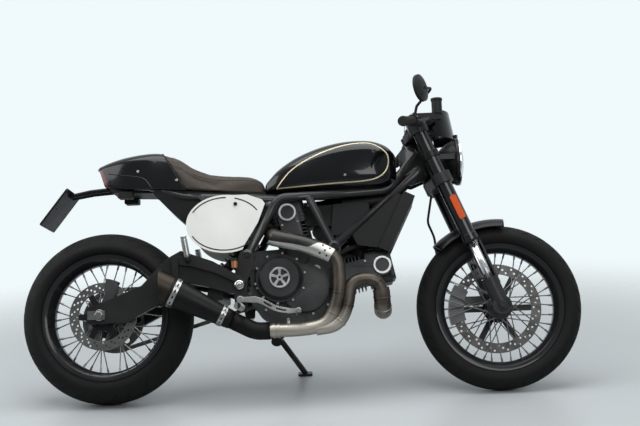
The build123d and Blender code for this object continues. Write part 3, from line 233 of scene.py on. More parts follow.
def spin(bm, outline, centre, axis, steps=96, closed=True, depth=None):
    """Turns an outline of (radius, distance along the axis) round an axis; depth presses grooves in."""
    axis = axis.normalized()
    first, second = across(axis)
    rings = []
    for step in range(steps):
        turn = 2 * pi * step / steps
        spoke = first * cos(turn) + second * sin(turn)
        ring = []
        for radius, along in outline:
            pressed = depth(turn, radius, along) if depth else 0
            ring.append(bm.verts.new(centre + axis * along + spoke * (radius - pressed)))
        rings.append(ring)
    count = len(outline)
    for step in range(steps):
        here, after = rings[step], rings[(step + 1) % steps]
        for i in range(count if closed else count - 1):
            j = (i + 1) % count
            bm.faces.new((here[i], here[j], after[j], after[i]))


def arc(start, middle, end, steps):
    """Points on the circle through three points of an outline, without the last."""
    (ax, ay), (bx, by), (cx, cy) = start, middle, end
    d = 2 * (ax * (by - cy) + bx * (cy - ay) + cx * (ay - by))
    a2, b2, c2 = ax * ax + ay * ay, bx * bx + by * by, cx * cx + cy * cy
    ux = (a2 * (by - cy) + b2 * (cy - ay) + c2 * (ay - by)) / d
    uy = (a2 * (cx - bx) + b2 * (ax - cx) + c2 * (bx - ax)) / d
    turns = [atan2(y - uy, x - ux) for x, y in (start, middle, end)]
    for i in (1, 2):
        while turns[i] - turns[i - 1] > pi:
            turns[i] -= 2 * pi
        while turns[i] - turns[i - 1] < -pi:
            turns[i] += 2 * pi
    size = sqrt((ax - ux) ** 2 + (ay - uy) ** 2)
    return [
        (ux + size * cos(turns[0] + (turns[2] - turns[0]) * k / steps),
         uy + size * sin(turns[0] + (turns[2] - turns[0]) * k / steps))
        for k in range(steps)
    ]


BEAD_R, FLANGE_TOP = 222, 232
GROOVE_DEEP, GROOVE_HALF, GROOVE_COUNT, GROOVE_SLANT = 3.6, 3.6, 15, 1.15
GROOVE_FROM, GROOVE_TO, SHORT_FROM, SHORT_SHIFT = 0.14, 0.93, 0.55, 0.42
tyre_rubber = finish(
    "tyre_rubber", (0.0085, 0.0085, 0.0085), 0.76, tone=0.3, blotch=14, grain=700, bump=0.16, spread=0.1
)


def make_tyre(name, axle, crown_at, half, crown_r, shoulder, rim_half, body):
    """A tyre of its own section, with grooves pressed into the tread."""
    shoulder_r = crown_at - crown_r + sqrt(crown_r**2 - shoulder**2)
    wall_r = 0.45 * FLANGE_TOP + 0.55 * shoulder_r
    lip = rim_half + 1
    wall = arc((FLANGE_TOP + 1.6, lip), (wall_r, half - 4), (shoulder_r, shoulder), 14)
    tread = arc((shoulder_r, shoulder), (crown_at, 0), (shoulder_r, -shoulder), 44)
    back = arc((shoulder_r, -shoulder), (wall_r, 4 - half), (FLANGE_TOP + 1.6, -lip), 14)
    outline = [(BEAD_R, -rim_half + 7), (BEAD_R, rim_half - 7), (FLANGE_TOP + 0.6, rim_half - 7)]
    outline += wall + tread + back + [(FLANGE_TOP + 1.6, -lip), (FLANGE_TOP + 0.6, 7 - rim_half)]
    pitch = 2 * pi * crown_at / GROOVE_COUNT

    def groove(turn, radius, along):
        out = abs(along)
        if radius < shoulder_r - 0.5 or not GROOVE_FROM * shoulder < out < GROOVE_TO * shoulder:
            return 0
        run = turn * crown_at + GROOVE_SLANT * out + (0.5 * pitch if along > 0 else 0)
        away = abs((run + pitch / 2) % pitch - pitch / 2)
        if out > SHORT_FROM * shoulder:
            away = min(away, abs((run + SHORT_SHIFT * pitch + pitch / 2) % pitch - pitch / 2))
        ends = min(1, (out - GROOVE_FROM * shoulder) / 5, (GROOVE_TO * shoulder - out) / 5)
        return GROOVE_DEEP * ends * max(0, min(1, (GROOVE_HALF + 1.2 - away) / 1.6))

    bm = bmesh.new()
    spin(bm, outline, axle, LEFT, steps=660, depth=groove)
    piece(name, bm, tyre_rubber, body, [name.replace("_rubber", "")], crease=24)


make_tyre("rear_tyre_rubber", REAR_AXLE, 315, 90, 95, 84, 70, "rear_wheel")
make_tyre("front_tyre_rubber", FRONT_AXLE, 300, 60, 62, 56, 44.5, "front_wheel")

# Wire wheels: black rims with a well, turned hubs, and crossed spokes held by nipples.
# Rim and hub are spun profiles; spokes and nipples are set out one by one from hub to rim.
RIM_BED, AXLE_BORE, SPOKES, SPOKE_R, SPOKE_TURN = 199, 12.55, 36, 2.2, radians(42)
NIPPLE_R, NIPPLE_LONG = 3.6, 17
wheel_black = finish("wheel_black", (0.012, 0.012, 0.013), 0.33, coat=0.35, tone=0.2, grain=600, bump=0.04)
spoke_black = finish("spoke_black", (0.2, 0.2, 0.202), 0.3, metal=0.9, tone=0.2)
nipple_steel = finish("nipple_steel", (0.24, 0.24, 0.25), 0.32, metal=1.0, tone=0.2)


def shape_object(name, bm):
    """A unit shape that geometry nodes set out; it is taken away once it has been used."""
    bmesh.ops.remove_doubles(bm, verts=bm.verts, dist=0.0005)
    bmesh.ops.recalc_face_normals(bm, faces=bm.faces)
    return smooth_object(name, bm, 35)


def turned_shape(name, outline, sides):
    """A unit shape turned from (radius, height) points."""
    bm = bmesh.new()
    spin(bm, outline, Vector(), UP, sides, closed=False)
    return shape_object(name, bm)


def setting_out_tree():
    """Geometry nodes that put a shape at each point, turned and sized by the point's attributes."""
    tree = bpy.data.node_groups.new("setting_out", "GeometryNodeTree")
    for label, kind in (("Points", "Geometry"), ("Shape", "Object"), ("Finish", "Material")):
        tree.interface.new_socket(label, in_out="INPUT", socket_type="NodeSocket" + kind)
    tree.interface.new_socket("Pieces", in_out="OUTPUT", socket_type="NodeSocketGeometry")
    inputs = add_node(tree, "NodeGroupInput").outputs

    def stored(label):
        read = add_node(tree, "GeometryNodeInputNamedAttribute", {"Name": label}, data_type="FLOAT_VECTOR")
        return read.outputs["Attribute"]

    upright = add_node(
        tree, "FunctionNodeAlignRotationToVector", {"Vector": stored("way")}, axis="Z", pivot_axis="AUTO"
    ).outputs[0]
    turned = add_node(
        tree, "FunctionNodeAlignRotationToVector", {"Rotation": upright, "Vector": stored("along")},
        axis="X", pivot_axis="Z",
    ).outputs[0]
    shape = add_node(tree, "GeometryNodeObjectInfo", {"Object": inputs["Shape"]}).outputs["Geometry"]
    placed = add_node(tree, "GeometryNodeInstanceOnPoints", {
        "Points": inputs["Points"], "Instance": shape, "Rotation": turned, "Scale": stored("size"),
    }).outputs[0]
    real = add_node(tree, "GeometryNodeRealizeInstances", {0: placed}).outputs[0]
    painted = add_node(tree, "GeometryNodeSetMaterial", {"Geometry": real, "Material": inputs["Finish"]})
    add_node(tree, "NodeGroupOutput", {0: painted.outputs[0]})
    return tree


SETTING_OUT = setting_out_tree()


def set_out(name, spots, shape, material, body, stands_for=()):
    """Sets a unit shape out at upright (place, way, along, (width, depth, height)) spots in millimetres."""
    turn = PARK.to_3x3().normalized()
    carrier = bpy.data.meshes.new(name)
    carrier.from_pydata([PARK @ Vector(spot[0]) for spot in spots], [], [])
    for label, values in (
        ("way", [turn @ Vector(spot[1]).normalized() for spot in spots]),
        ("along", [turn @ Vector(spot[2]).normalized() for spot in spots]),
        ("size", [Vector(spot[3]) * MM for spot in spots]),
    ):
        store = carrier.attributes.new(label, "FLOAT_VECTOR", "POINT")
        store.data.foreach_set("vector", [c for value in values for c in value])
    made = bpy.data.objects.new(name, carrier)
    scene.collection.objects.link(made)
    modifier = made.modifiers.new("setting_out", "NODES")
    modifier.node_group = SETTING_OUT
    chosen = {"Shape": shape, "Finish": material}
    for item in SETTING_OUT.interface.items_tree:
        if item.name in chosen:
            modifier[item.identifier] = chosen[item.name]
    graph = bpy.context.evaluated_depsgraph_get()
    mesh = bpy.data.meshes.new_from_object(made.evaluated_get(graph))
    made.modifiers.clear()
    made.data = mesh
    mesh.name = name
    if not mesh.materials:
        mesh.materials.append(material)
    return settle(made, body, stands_for)


rod = turned_shape("rod", [(0, 0), (1, 0), (1, 1), (0, 1)], 10)


def make_wire_wheel(prefix, axle, rim_half, flange_y, flange_r, left_boss, right_boss, body):
    """A rim, a hub from boss to boss, and crossed spokes between the hub's flanges and the rim."""
    inner = rim_half - 6.5
    rim = [
        (FLANGE_TOP - 1, rim_half), (FLANGE_TOP, rim_half - 1.5),
        (FLANGE_TOP, inner + 1), (FLANGE_TOP - 1, inner),
        (BEAD_R - 0.5, inner), (BEAD_R - 0.5, 26), (BEAD_R - 10, 18), (BEAD_R - 10, -18), (BEAD_R - 0.5, -26),
        (BEAD_R - 0.5, -inner), (FLANGE_TOP - 1, -inner),
        (FLANGE_TOP, -inner - 1), (FLANGE_TOP, 1.5 - rim_half),
        (FLANGE_TOP - 1, -rim_half), (BEAD_R - 6, 3 - rim_half), (BEAD_R - 9, 5 - rim_half),
        (RIM_BED + 6, -27), (RIM_BED + 2, -21), (RIM_BED, -16), (RIM_BED, 16), (RIM_BED + 2, 21),
        (RIM_BED + 6, 27), (BEAD_R - 9, rim_half - 5), (BEAD_R - 6, rim_half - 3),
    ]
    bm = bmesh.new()
    spin(bm, rim, axle, LEFT, 180)
    piece(prefix + "_rim", bm, wheel_black, body, [prefix + "_wire_wheel"], crease=28)
    hub = [
        (AXLE_BORE, right_boss[1]), (right_boss[0] - 2, right_boss[1]), (right_boss[0], right_boss[1] + 2),
        (right_boss[0], -flange_y - 12), (flange_r - 3, -flange_y - 6), (flange_r, -flange_y - 4),
        (flange_r, 4 - flange_y), (flange_r - 3, 6 - flange_y), (36, 12 - flange_y), (32, 20 - flange_y),
        (32, flange_y - 20), (36, flange_y - 12), (flange_r - 3, flange_y - 6), (flange_r, flange_y - 4),
        (flange_r, flange_y + 4), (flange_r - 3, flange_y + 6), (left_boss[0], flange_y + 12),
        (left_boss[0], left_boss[1] - 2), (left_boss[0] - 2, left_boss[1]), (AXLE_BORE, left_boss[1]),
    ]
    bm = bmesh.new()
    spin(bm, hub, axle, LEFT, 72)
    piece(prefix + "_hub", bm, wheel_black, body, crease=30)
    wires, nipples = [], []
    for number in range(SPOKES):
        side, hand = (1, -1)[number % 2], (1, -1)[(number // 2) % 2]
        at_rim = 2 * pi * number / SPOKES
        at_hub = at_rim + SPOKE_TURN * hand
        hole_r = flange_r - 6
        start = axle + Vector((hole_r * cos(at_hub), side * (flange_y + 3 * hand), hole_r * sin(at_hub)))
        end = axle + Vector(((RIM_BED + 4) * cos(at_rim), side * 12, (RIM_BED + 4) * sin(at_rim)))
        way = end - start
        wires.append((start, way, LEFT, (SPOKE_R, SPOKE_R, way.length)))
        nipples.append((end - way.normalized() * 20, way, LEFT, (NIPPLE_R, NIPPLE_R, NIPPLE_LONG)))
    set_out(prefix + "_spokes", wires, rod, spoke_black, body)
    set_out(prefix + "_nipples", nipples, rod, nipple_steel, body)


make_wire_wheel("rear", REAR_AXLE, 70, 44, 52, (74, 102), (50, -97.5), "rear_wheel")
make_wire_wheel("front", FRONT_AXLE, 44.5, 36, 46, (50, 54), (34, -72), "front_wheel")

# Brake discs and rear sprocket: drilled steel, ground in rings by the pads, bolted to the hubs.
# They keep their solids, welded and smoothed, and get their screws; the carriers inside are black.


def brushed(name, colour, rough, scratch, bump=0.06, tone=0.14):
    """Bare metal with fine lines along the axes that have the small scratch scale."""
    material = finish(name, colour, rough, metal=1.0, tone=tone, blotch=16, bump=bump, spread=0.1)
    tree = material.node_tree
    place = tree.nodes["Texture Coordinate"].outputs["Object"]
    stretch = add_node(tree, "ShaderNodeMapping", {"Scale": scratch, "Vector": place})
    pores = tree.nodes["Noise Texture.001"]
    pores.inputs["Scale"].default_value = 1.0
    tree.links.new(stretch.outputs[0], pores.inputs["Vector"])
    return material


def break_edges(made, width, segments=2, angle=40, harden=True):
    """Rounds the edges that are sharper than an angle."""
    soften = made.modifiers.new("broken_edges", "BEVEL")
    soften.width, soften.segments, soften.limit_method = width * MM, segments, "ANGLE"
    soften.angle_limit, soften.harden_normals = radians(angle), harden


def dress(node, material, bevel=0.0, crease=32):
    """A welded copy of a CAD piece, smooth over its curves and with broken edges, that stands for it."""
    source = frame["nodes"][node]
    bm = bmesh.new()
    bm.from_mesh(source.data)
    bm.transform(source.matrix_world)
    bmesh.ops.remove_doubles(bm, verts=bm.verts, dist=1e-5)
    if bevel:
        bmesh.ops.dissolve_limit(bm, angle_limit=radians(1.5), verts=bm.verts, edges=bm.edges)
    made = smooth_object(node + "_finished", bm, crease, material)
    if bevel:
        break_edges(made, bevel)
    body = next(name for name, nodes in frame["record"]["behaviour"]["bodies"].items() if node in nodes)
    return settle(made, body, [node])


disc_steel = brushed("disc_steel", (0.2, 0.198, 0.19), 0.34, (60, 60, 60))
# The front disc's steel is the rear disc's steel painted darker: painted shade on the same steel.
shaded_front_disc_steel = brushed("shaded_front_disc_steel", (0.085, 0.084, 0.08), 0.42, (60, 60, 60))
chain_steel = finish("chain_steel", (0.16, 0.155, 0.15), 0.36, metal=1.0, tone=0.3, blotch=60)
screw_steel = finish("screw_steel", (0.42, 0.42, 0.43), 0.3, metal=1.0, tone=0.15, blotch=40)
screw_black = finish("screw_black", (0.02, 0.02, 0.021), 0.38, metal=0.5, tone=0.2, blotch=40)
carrier_black = finish("carrier_black", (0.02, 0.02, 0.021), 0.4, metal=0.4, tone=0.2)
axle_way = PARK.to_3x3().normalized() @ LEFT
for disc, axle, carrier_r, face_steel in (
    ("rear_brake_disc", REAR_AXLE, 86, disc_steel), ("front_brake_disc", FRONT_AXLE, 126, shaded_front_disc_steel),
    ("rear_sprocket", REAR_AXLE, 0, disc_steel),
):
    made = dress(disc, face_steel, crease=30)
    made.data.materials.append(carrier_black)
    for face in made.data.polygons:
        out = face.center - PARK @ axle
        if (out - axle_way * out.dot(axle_way)).length < carrier_r * MM:
            face.material_index = 1
HEAD = [(0, 0.5), (0.52, 0.5), (0.52, 1), (0.86, 1), (1, 0.84), (1, 0), (0, 0)]
socket_head = turned_shape("socket_head", HEAD, 12)
hex_head = turned_shape("hex_head", [(0, 1), (0.8, 1), (1, 0.86), (1, 0), (0, 0)], 6)


def ring_of(centre, axis, radius, count, size, start=0.0):
    """Spots for screws round an axis, each standing along it."""
    first, second = across(axis)
    turns = [start + 2 * pi * k / count for k in range(count)]
    return [(centre + (first * cos(t) + second * sin(t)) * radius, axis, first, size) for t in turns]


rear_ring = ring_of(REAR_AXLE - LEFT * 102.5, -LEFT, 38, 6, (6.5, 6.5, 5))
front_ring = ring_of(FRONT_AXLE + LEFT * 59, LEFT, 40, 6, (6.5, 6.5, 5))
sprocket_ring = ring_of(REAR_AXLE + LEFT * 108.5, LEFT, 56, 6, (9, 9, 7))
set_out("rear_disc_screws", rear_ring, socket_head, screw_black, "rear_wheel")
set_out("front_disc_screws", front_ring, socket_head, screw_black, "front_wheel")
set_out("sprocket_nuts", sprocket_ring, hex_head, screw_steel, "rear_wheel")

# Drive chain: steel links of paired plates on rollers and pins, run round both sprockets.
# Each link is set out along the pitch line; outer and inner plates take turns.
LINK, REAR_TEETH, GEARBOX_TEETH, CHAIN_Y, PLATE_THICK = 15.875, 46, 15, 105, 1.6
GEARBOX = Vector((585, CHAIN_Y, 405))
REAR_PITCH_R, GEARBOX_PITCH_R = [LINK / 2 / sin(pi / teeth) for teeth in (REAR_TEETH, GEARBOX_TEETH)]
chain_back = Vector((REAR_AXLE.x, CHAIN_Y, REAR_AXLE.z))
chain_run = GEARBOX - chain_back
chain_slope = atan2(chain_run.z, chain_run.x)
chain_spread = atan2(REAR_PITCH_R - GEARBOX_PITCH_R, chain_run.length)
straight = sqrt(chain_run.length**2 - (REAR_PITCH_R - GEARBOX_PITCH_R) ** 2)
wraps = ((GEARBOX, GEARBOX_PITCH_R, pi - 2 * chain_spread), (chain_back, REAR_PITCH_R, pi + 2 * chain_spread))
loop_length = 2 * straight + sum(radius * angle for _, radius, angle in wraps)
links_round = 2 * int(loop_length / LINK / 2)
link_step = loop_length / links_round


def on_chain(distance):
    """Place and direction on the pitch line, from the top of the rear sprocket forward."""
    distance %= loop_length
    top = chain_slope + pi / 2 - chain_spread
    for centre, radius, angle, start in (
        (GEARBOX, GEARBOX_PITCH_R, wraps[0][2], top), (chain_back, REAR_PITCH_R, wraps[1][2], top - wraps[0][2])
    ):
        leave = chain_back if centre is GEARBOX else GEARBOX
        leave_r = REAR_PITCH_R if centre is GEARBOX else GEARBOX_PITCH_R
        out = Vector((cos(start), 0, sin(start)))
        forward = Vector((sin(start), 0, -cos(start)))
        if distance < straight:
            return leave + out * leave_r + forward * distance, forward
        distance -= straight
        if distance < radius * angle:
            turn = start - distance / radius
            return centre + Vector((cos(turn), 0, sin(turn))) * radius, Vector((sin(turn), 0, -cos(turn)))
        distance -= radius * angle
    return on_chain(0)


bm = bmesh.new()
waist = [(0.5 + 0.44 * cos(radians(a)), 0.44 * sin(radians(a))) for a in range(-110, 111, 22)]
waist += [(-x, -z) for x, z in waist]
low = [bm.verts.new((x, y, 0)) for x, y in waist]
high = [bm.verts.new((x, y, 1)) for x, y in waist]
bm.faces.new(low)
bm.faces.new(high)
for i in range(len(waist)):
    bm.faces.new((low[i], low[i - 1], high[i - 1], high[i]))
link_plate = shape_object("link_plate", bm)
plates, rollers = [], []
for link in range(links_round):
    middle, forward = on_chain((link + 0.5) * link_step)
    pin, _ = on_chain(link * link_step)
    inside = 6.6 if link % 2 else 4.9
    for left_by in (inside, -inside - PLATE_THICK):
        plates.append((middle + LEFT * left_by, LEFT, forward, (link_step, link_step, PLATE_THICK)))
    rollers.append((pin - LEFT * 4.8, LEFT, forward, (4.9, 4.9, 9.6)))
    rollers.append((pin - LEFT * 9.2, LEFT, forward, (2.6, 2.6, 18.4)))
set_out("chain_plates", plates, link_plate, chain_steel, "chassis", ["chain"])
set_out("chain_rollers", rollers, rod, chain_steel, "chassis")

# Swingarm, rear axle and shock: a welded steel fork painted satin black, on a plain steel axle.
# The arms keep their solids with rounded edges; nuts and the pivot caps are turned steel.
PIVOT = Vector((503, 0, 406))
arm_black = finish("arm_black", (0.017, 0.017, 0.0165), 0.44, coat=0.1, tone=0.25, grain=520, bump=0.1)
axle_steel = brushed("axle_steel", (0.5, 0.5, 0.51), 0.26, (40, 40, 40))
spring_black = finish("spring_black", (0.018, 0.018, 0.019), 0.35, coat=0.3)
dress("swingarm", arm_black, bevel=3.0)
dress("rear_axle", axle_steel, bevel=1.0)
dress("rear_shock", spring_black)


def add_box(bm, size, centre):
    """A plain box of a size round a centre."""
    corners = bmesh.ops.create_cube(bm, size=1)["verts"]
    bmesh.ops.scale(bm, verts=corners, vec=size)
    bmesh.ops.translate(bm, verts=corners, vec=centre)


bm = bmesh.new()
for side in (1, -1):
    add_box(bm, (62, 5, 32), REAR_AXLE + Vector((-10, side * 165, 0)))
piece("chain_adjusters", bm, disc_steel, "chassis")
nuts = [(REAR_AXLE + LEFT * side * 167, LEFT * side, FORWARD, (15, 15, 9)) for side in (1, -1)]
set_out("rear_axle_nuts", nuts, hex_head, disc_steel, "chassis")
bm = bmesh.new()
for side in (1, -1):
    cap = [(0, 6), (6, 6), (8, 4.5), (13, 4.5), (16.5, 2), (17, -1), (0, -1)]
    spin(bm, cap, PIVOT + LEFT * side * 165, LEFT * side, 40, closed=False)
piece("pivot_caps", bm, axle_steel, "chassis")

# Fork: black outer tubes above, bright stanchions below, cast feet round the axle and two clamps.
# All of it turns with the steering, so places here are given along the steering axis.
RAKE, FORK_OFFSET, FORK_SPREAD = radians(22), 26, 103
LOW_CLAMP, TOP_CLAMP, TOP_CLAMP_H, OUTER_R = 800, 1008, 26, 27
AXIS_FOOT = WHEELBASE + (FRONT_AXLE.z * sin(RAKE) - FORK_OFFSET) / cos(RAKE)
UP_AXIS = Vector((-sin(RAKE), 0, cos(RAKE)))
AHEAD_AXIS = Vector((cos(RAKE), 0, sin(RAKE)))


def steer_point(ahead_by, left_by, up_by):
    """A place given ahead of, left of and up the steering axis, as a place on the upright bike."""
    return Vector((AXIS_FOOT, 0, 0)) + AHEAD_AXIS * ahead_by + LEFT * left_by + UP_AXIS * up_by


fork_black = finish(
    "fork_black", (0.014, 0.014, 0.015), 0.26, metal=0.4, coat=0.5, tone=0.2, grain=800, bump=0.03
)
cast_black = finish("cast_black", (0.022, 0.022, 0.023), 0.48, coat=0.08, tone=0.3, grain=360, bump=0.2)
stanchion_steel = brushed("stanchion_steel", (0.62, 0.62, 0.63), 0.14, (90, 90, 12), bump=0.02)
dress("fork_outer_tubes", fork_black, bevel=1.0)
dress("fork_stanchions", stanchion_steel)
dress("fork_feet_and_axle", cast_black, bevel=1.5)
dress("fork_clamps", cast_black, bevel=2.0)
pinches, rings = [], bmesh.new()
for side in (1, -1):
    for up in (LOW_CLAMP + 12, LOW_CLAMP + 28, TOP_CLAMP + 13):
        pinches.append((steer_point(58 if up < 900 else 54, side * 84, up), AHEAD_AXIS, LEFT, (5.5, 5.5, 6)))
    top = steer_point(FORK_OFFSET, side * FORK_SPREAD, TOP_CLAMP + TOP_CLAMP_H + 47)
    pinches.append((top, UP_AXIS, LEFT, (12, 12, 5)))
    seal = steer_point(FORK_OFFSET, side * FORK_SPREAD, 566)
    spin(rings, [(21.6, 0), (26, 0), (28.5, 3), (28.5, 7), (21.6, 7)], seal, UP_AXIS, 40)
set_out("fork_screws", pinches, socket_head, screw_steel, "steer")
seal_rubber = finish("seal_rubber", (0.02, 0.02, 0.02), 0.6, tone=0.2, bump=0.1)
piece("fork_seals", rings, seal_rubber, "steer")
front_nuts = [(FRONT_AXLE + LEFT * side * 131, LEFT * side, FORWARD, (12, 12, 4)) for side in (1, -1)]
set_out("front_axle_nuts", front_nuts, socket_head, screw_black, "steer")

# Front fender, caliper, hose and reflectors: a gloss moulding, a cast caliper and a rubber hose.
# The reflectors are orange plastic with a pattern of small prisms behind the face.
gloss_black = finish(
    "gloss_black", (0.003, 0.003, 0.004), 0.16, coat=0.42, tone=0.3, blotch=4, grain=90, bump=0.012, spread=0.05
)
caliper_grey = finish("caliper_grey", (0.07, 0.07, 0.072), 0.36, metal=0.6, tone=0.25, grain=400, bump=0.16)
hose_rubber = finish("hose_rubber", (0.018, 0.018, 0.018), 0.5, tone=0.2, grain=900, bump=0.15)
reflector_orange = finish(
    "reflector_orange", (0.58, 0.07, 0.004), 0.3, coat=0.0, tone=0.12, blotch=30, spread=0.05
)


def cell_relief(material, scale):
    """Gives the relief of a material the form of small cells."""
    tree = material.node_tree
    place = tree.nodes["Texture Coordinate"].outputs["Object"]
    cells = add_node(tree, "ShaderNodeTexVoronoi", {"Scale": scale, "Vector": place})
    tree.links.new(cells.outputs["Distance"], tree.nodes["Bump"].inputs["Height"])
    return tree.nodes


prism_nodes = cell_relief(reflector_orange, 240)
prism_nodes["Bump"].inputs["Strength"].default_value = 0.35
prism_nodes["Principled BSDF"].inputs["Specular IOR Level"].default_value = 0.15
fender_black = finish(
    "fender_black", (0.004, 0.004, 0.0045), 0.36, coat=0.06, tone=0.3, blotch=5, grain=300, bump=0.03
)
dress("front_fender", fender_black, crease=50)
dress("front_caliper", caliper_grey, bevel=2.0)
dress("front_brake_hose", hose_rubber)
dress("fork_reflectors", reflector_orange, bevel=1.2)

# Clip-on bars with ribbed rubber grips, switch blocks, levers, fluid pots, mirrors and a round dial.
# The bars are steel tube in split clamps; the grips are moulded rings on a sleeve with an end weight.
CLIP_UP = TOP_CLAMP + TOP_CLAMP_H
BAR_ROOT, BAR_END = (44, 126, CLIP_UP + 15), (-46, 345, CLIP_UP - 10)
MIRROR_R, GRIP_LONG = 49, 125
grip_rubber = finish("grip_rubber", (0.02, 0.02, 0.02), 0.68, tone=0.2, grain=800, bump=0.2)
plastic_black = finish("plastic_black", (0.013, 0.013, 0.0135), 0.5, tone=0.22, grain=900, bump=0.18)
mirror_glass = finish("mirror_glass", (0.82, 0.84, 0.85), 0.03, metal=1.0, tone=0.02, bump=0.0, spread=0.01)
dress("clip_on_bars", fork_black, bevel=1.5)
dress("hand_controls", plastic_black, bevel=1.5)
dress("mirrors", plastic_black, bevel=1.0)
grip_rings = [(11, 0)]
for rib in range(18):
    start = 3 + rib * 6.4
    grip_rings += [(15.0, start), (16.5, start + 0.9), (16.5, start + 4.3), (15.0, start + 5.2)]
grip_rings += [(17.5, 119), (18.5, 121), (18.5, 124), (17.0, 125), (17.0, 134), (15.5, 135), (0, 135), (0, 0)]
bm = bmesh.new()
glass = bmesh.new()
for side in (1, -1):
    end, root = [steer_point(x, side * y, z) for x, y, z in (BAR_END, BAR_ROOT)]
    way = (end - root).normalized()
    spin(bm, grip_rings, end - way * GRIP_LONG, way, 40)
    spot = steer_point(60, side * 310, CLIP_UP + 81)
    back = Vector((0.85, side * 0.5, 0.1)).normalized()
    spin(glass, [(0, 1.0), (MIRROR_R - 5, 1.0), (MIRROR_R - 3.5, 0), (0, 0)], spot, -back, 72, closed=False)
piece("ribbed_grips", bm, grip_rubber, "steer", ["grips"], crease=30)
piece("mirror_glasses", glass, mirror_glass, "steer")
dress("instrument_dial", plastic_black, bevel=1.5)
dial_white = finish("dial_white", (0.72, 0.72, 0.68), 0.4, tone=0.05)
dial_red = finish("dial_red", (0.6, 0.05, 0.02), 0.4, tone=0.05)
dial_tilt = radians(10)
dial_up = (UP_AXIS * cos(dial_tilt) - AHEAD_AXIS * sin(dial_tilt)).normalized()
dial_ahead = (AHEAD_AXIS * cos(dial_tilt) + UP_AXIS * sin(dial_tilt)).normalized()
dial_face = steer_point(100, 0, TOP_CLAMP + 30) + dial_up * 33
bm = bmesh.new()
bmesh.ops.create_cube(bm, size=1)
block = shape_object("block", bm)
ticks = []
for tick in range(31):
    turn = radians(-210 + 240 * tick / 30)
    out = dial_ahead * -sin(turn) + LEFT * cos(turn)
    long = 7 if tick % 3 == 0 else 4
    ticks.append((dial_face + out * (33 - long / 2) + dial_up * 0.2, dial_up, out, (long, 1.1, 0.6)))
set_out("dial_ticks", ticks, block, dial_white, "steer")
needle_way = dial_ahead * 0.6 + LEFT * 0.8
needle = [(dial_face + needle_way * 9 + dial_up * 0.8, dial_up, needle_way, (30, 1.8, 0.8))]
set_out("dial_needle", needle, block, dial_red, "steer")
bm = bmesh.new()
spin(bm, [(35.5, -1), (39.5, -1), (39.5, 2.5), (38, 3.6), (36, 3.2)], dial_face, dial_up, 60)
piece("dial_rim", bm, axle_steel, "steer")

# Headlight: a round steel shell with a bright bowl, a bulb shield and a domed fluted glass.
# It hangs on two rings round the fork tubes; the small flyscreen stands above it.
LAMP = steer_point(50, 0, LOW_CLAMP + 97)
LAMP_R, LAMP_UP = 86, LOW_CLAMP + 105
lamp_black = finish("lamp_black", (0.008, 0.008, 0.0085), 0.4, coat=0.1, tone=0.2, grain=500, bump=0.03)
bowl_chrome = finish("bowl_chrome", (0.8, 0.8, 0.81), 0.08, metal=1.0, tone=0.05, bump=0.0, spread=0.03)
shell = [(0, 0), (30, 0)] + arc((30, 0), (66, 30), (LAMP_R - 3, 66), 14)
shell += [(LAMP_R - 3, 66), (LAMP_R, 69), (LAMP_R, 80), (LAMP_R - 1.5, 82), (LAMP_R - 6, 82), (LAMP_R - 7, 76)]
shell += [(74, 62), (58, 40), (34, 22), (0, 14)]
bm = bmesh.new()
spin(bm, shell, LAMP, FORWARD, 96, closed=False)
for side in (1, -1):
    ring = steer_point(FORK_OFFSET, side * FORK_SPREAD, LAMP_UP)
    spin(
        bm, [(OUTER_R + 0.1, 0), (32, 0), (33, 1), (33, 23), (32, 24), (OUTER_R + 0.1, 24)], ring, UP_AXIS, 48
    )
    add_box(bm, (66, 13, 20), LAMP + Vector((26, side * 84, 6)))
piece("headlight_shell", bm, lamp_black, "steer", ["headlight"], crease=30)
bm = bmesh.new()
bowl = [(0, 15.5), (33, 23.5), (57, 41.5), (73, 63.5), (LAMP_R - 8, 77), (LAMP_R - 7.2, 76)]
bowl += [(73.5, 62.5), (57.5, 40.5), (33.5, 22.5), (0.0, 14.5)]
spin(bm, bowl, LAMP, FORWARD, 96, closed=False)
spin(bm, [(0, 64), (13, 62), (17, 54), (15, 40), (0, 38)], LAMP, FORWARD, 40, closed=False)
spin(bm, [(80.4, 82), (86.4, 80), (87.2, 82.5), (86.2, 85.5), (82, 87), (80.4, 86)], LAMP, FORWARD, 96)
piece("headlight_bowl", bm, bowl_chrome, "steer", crease=40)
lamp_glass, glass_tree, glass_shader = new_material("lamp_glass", {
    "Base Color": (0.93, 0.95, 0.97, 1), "Transmission Weight": 1.0, "Roughness": 0.04, "IOR": 1.46,
})
glass_place = add_node(glass_tree, "ShaderNodeTexCoord").outputs["Object"]
flutes = add_node(
    glass_tree, "ShaderNodeTexWave", {"Scale": 26, "Distortion": 0.4, "Vector": glass_place},
    bands_direction="Y",
).outputs["Fac"]
flute_relief = add_node(glass_tree, "ShaderNodeBump", {"Strength": 0.25, "Distance": 0.002, "Height": flutes})
glass_tree.links.new(flute_relief.outputs[0], glass_shader.inputs["Normal"])
dome = arc((80, 86), (40, 95.9), (0, 99), 12) + [(0, 99)]
inner_dome = arc((0, 96.5), (40, 93.4), (78, 83.4), 12) + [(78, 83.4), (80, 83)]
bm = bmesh.new()
spin(bm, dome + inner_dome, LAMP, FORWARD, 96)
piece("headlight_glass", bm, lamp_glass, "steer", ["headlight_lens"], crease=40)
dress("flyscreen", gloss_black, bevel=0.8)

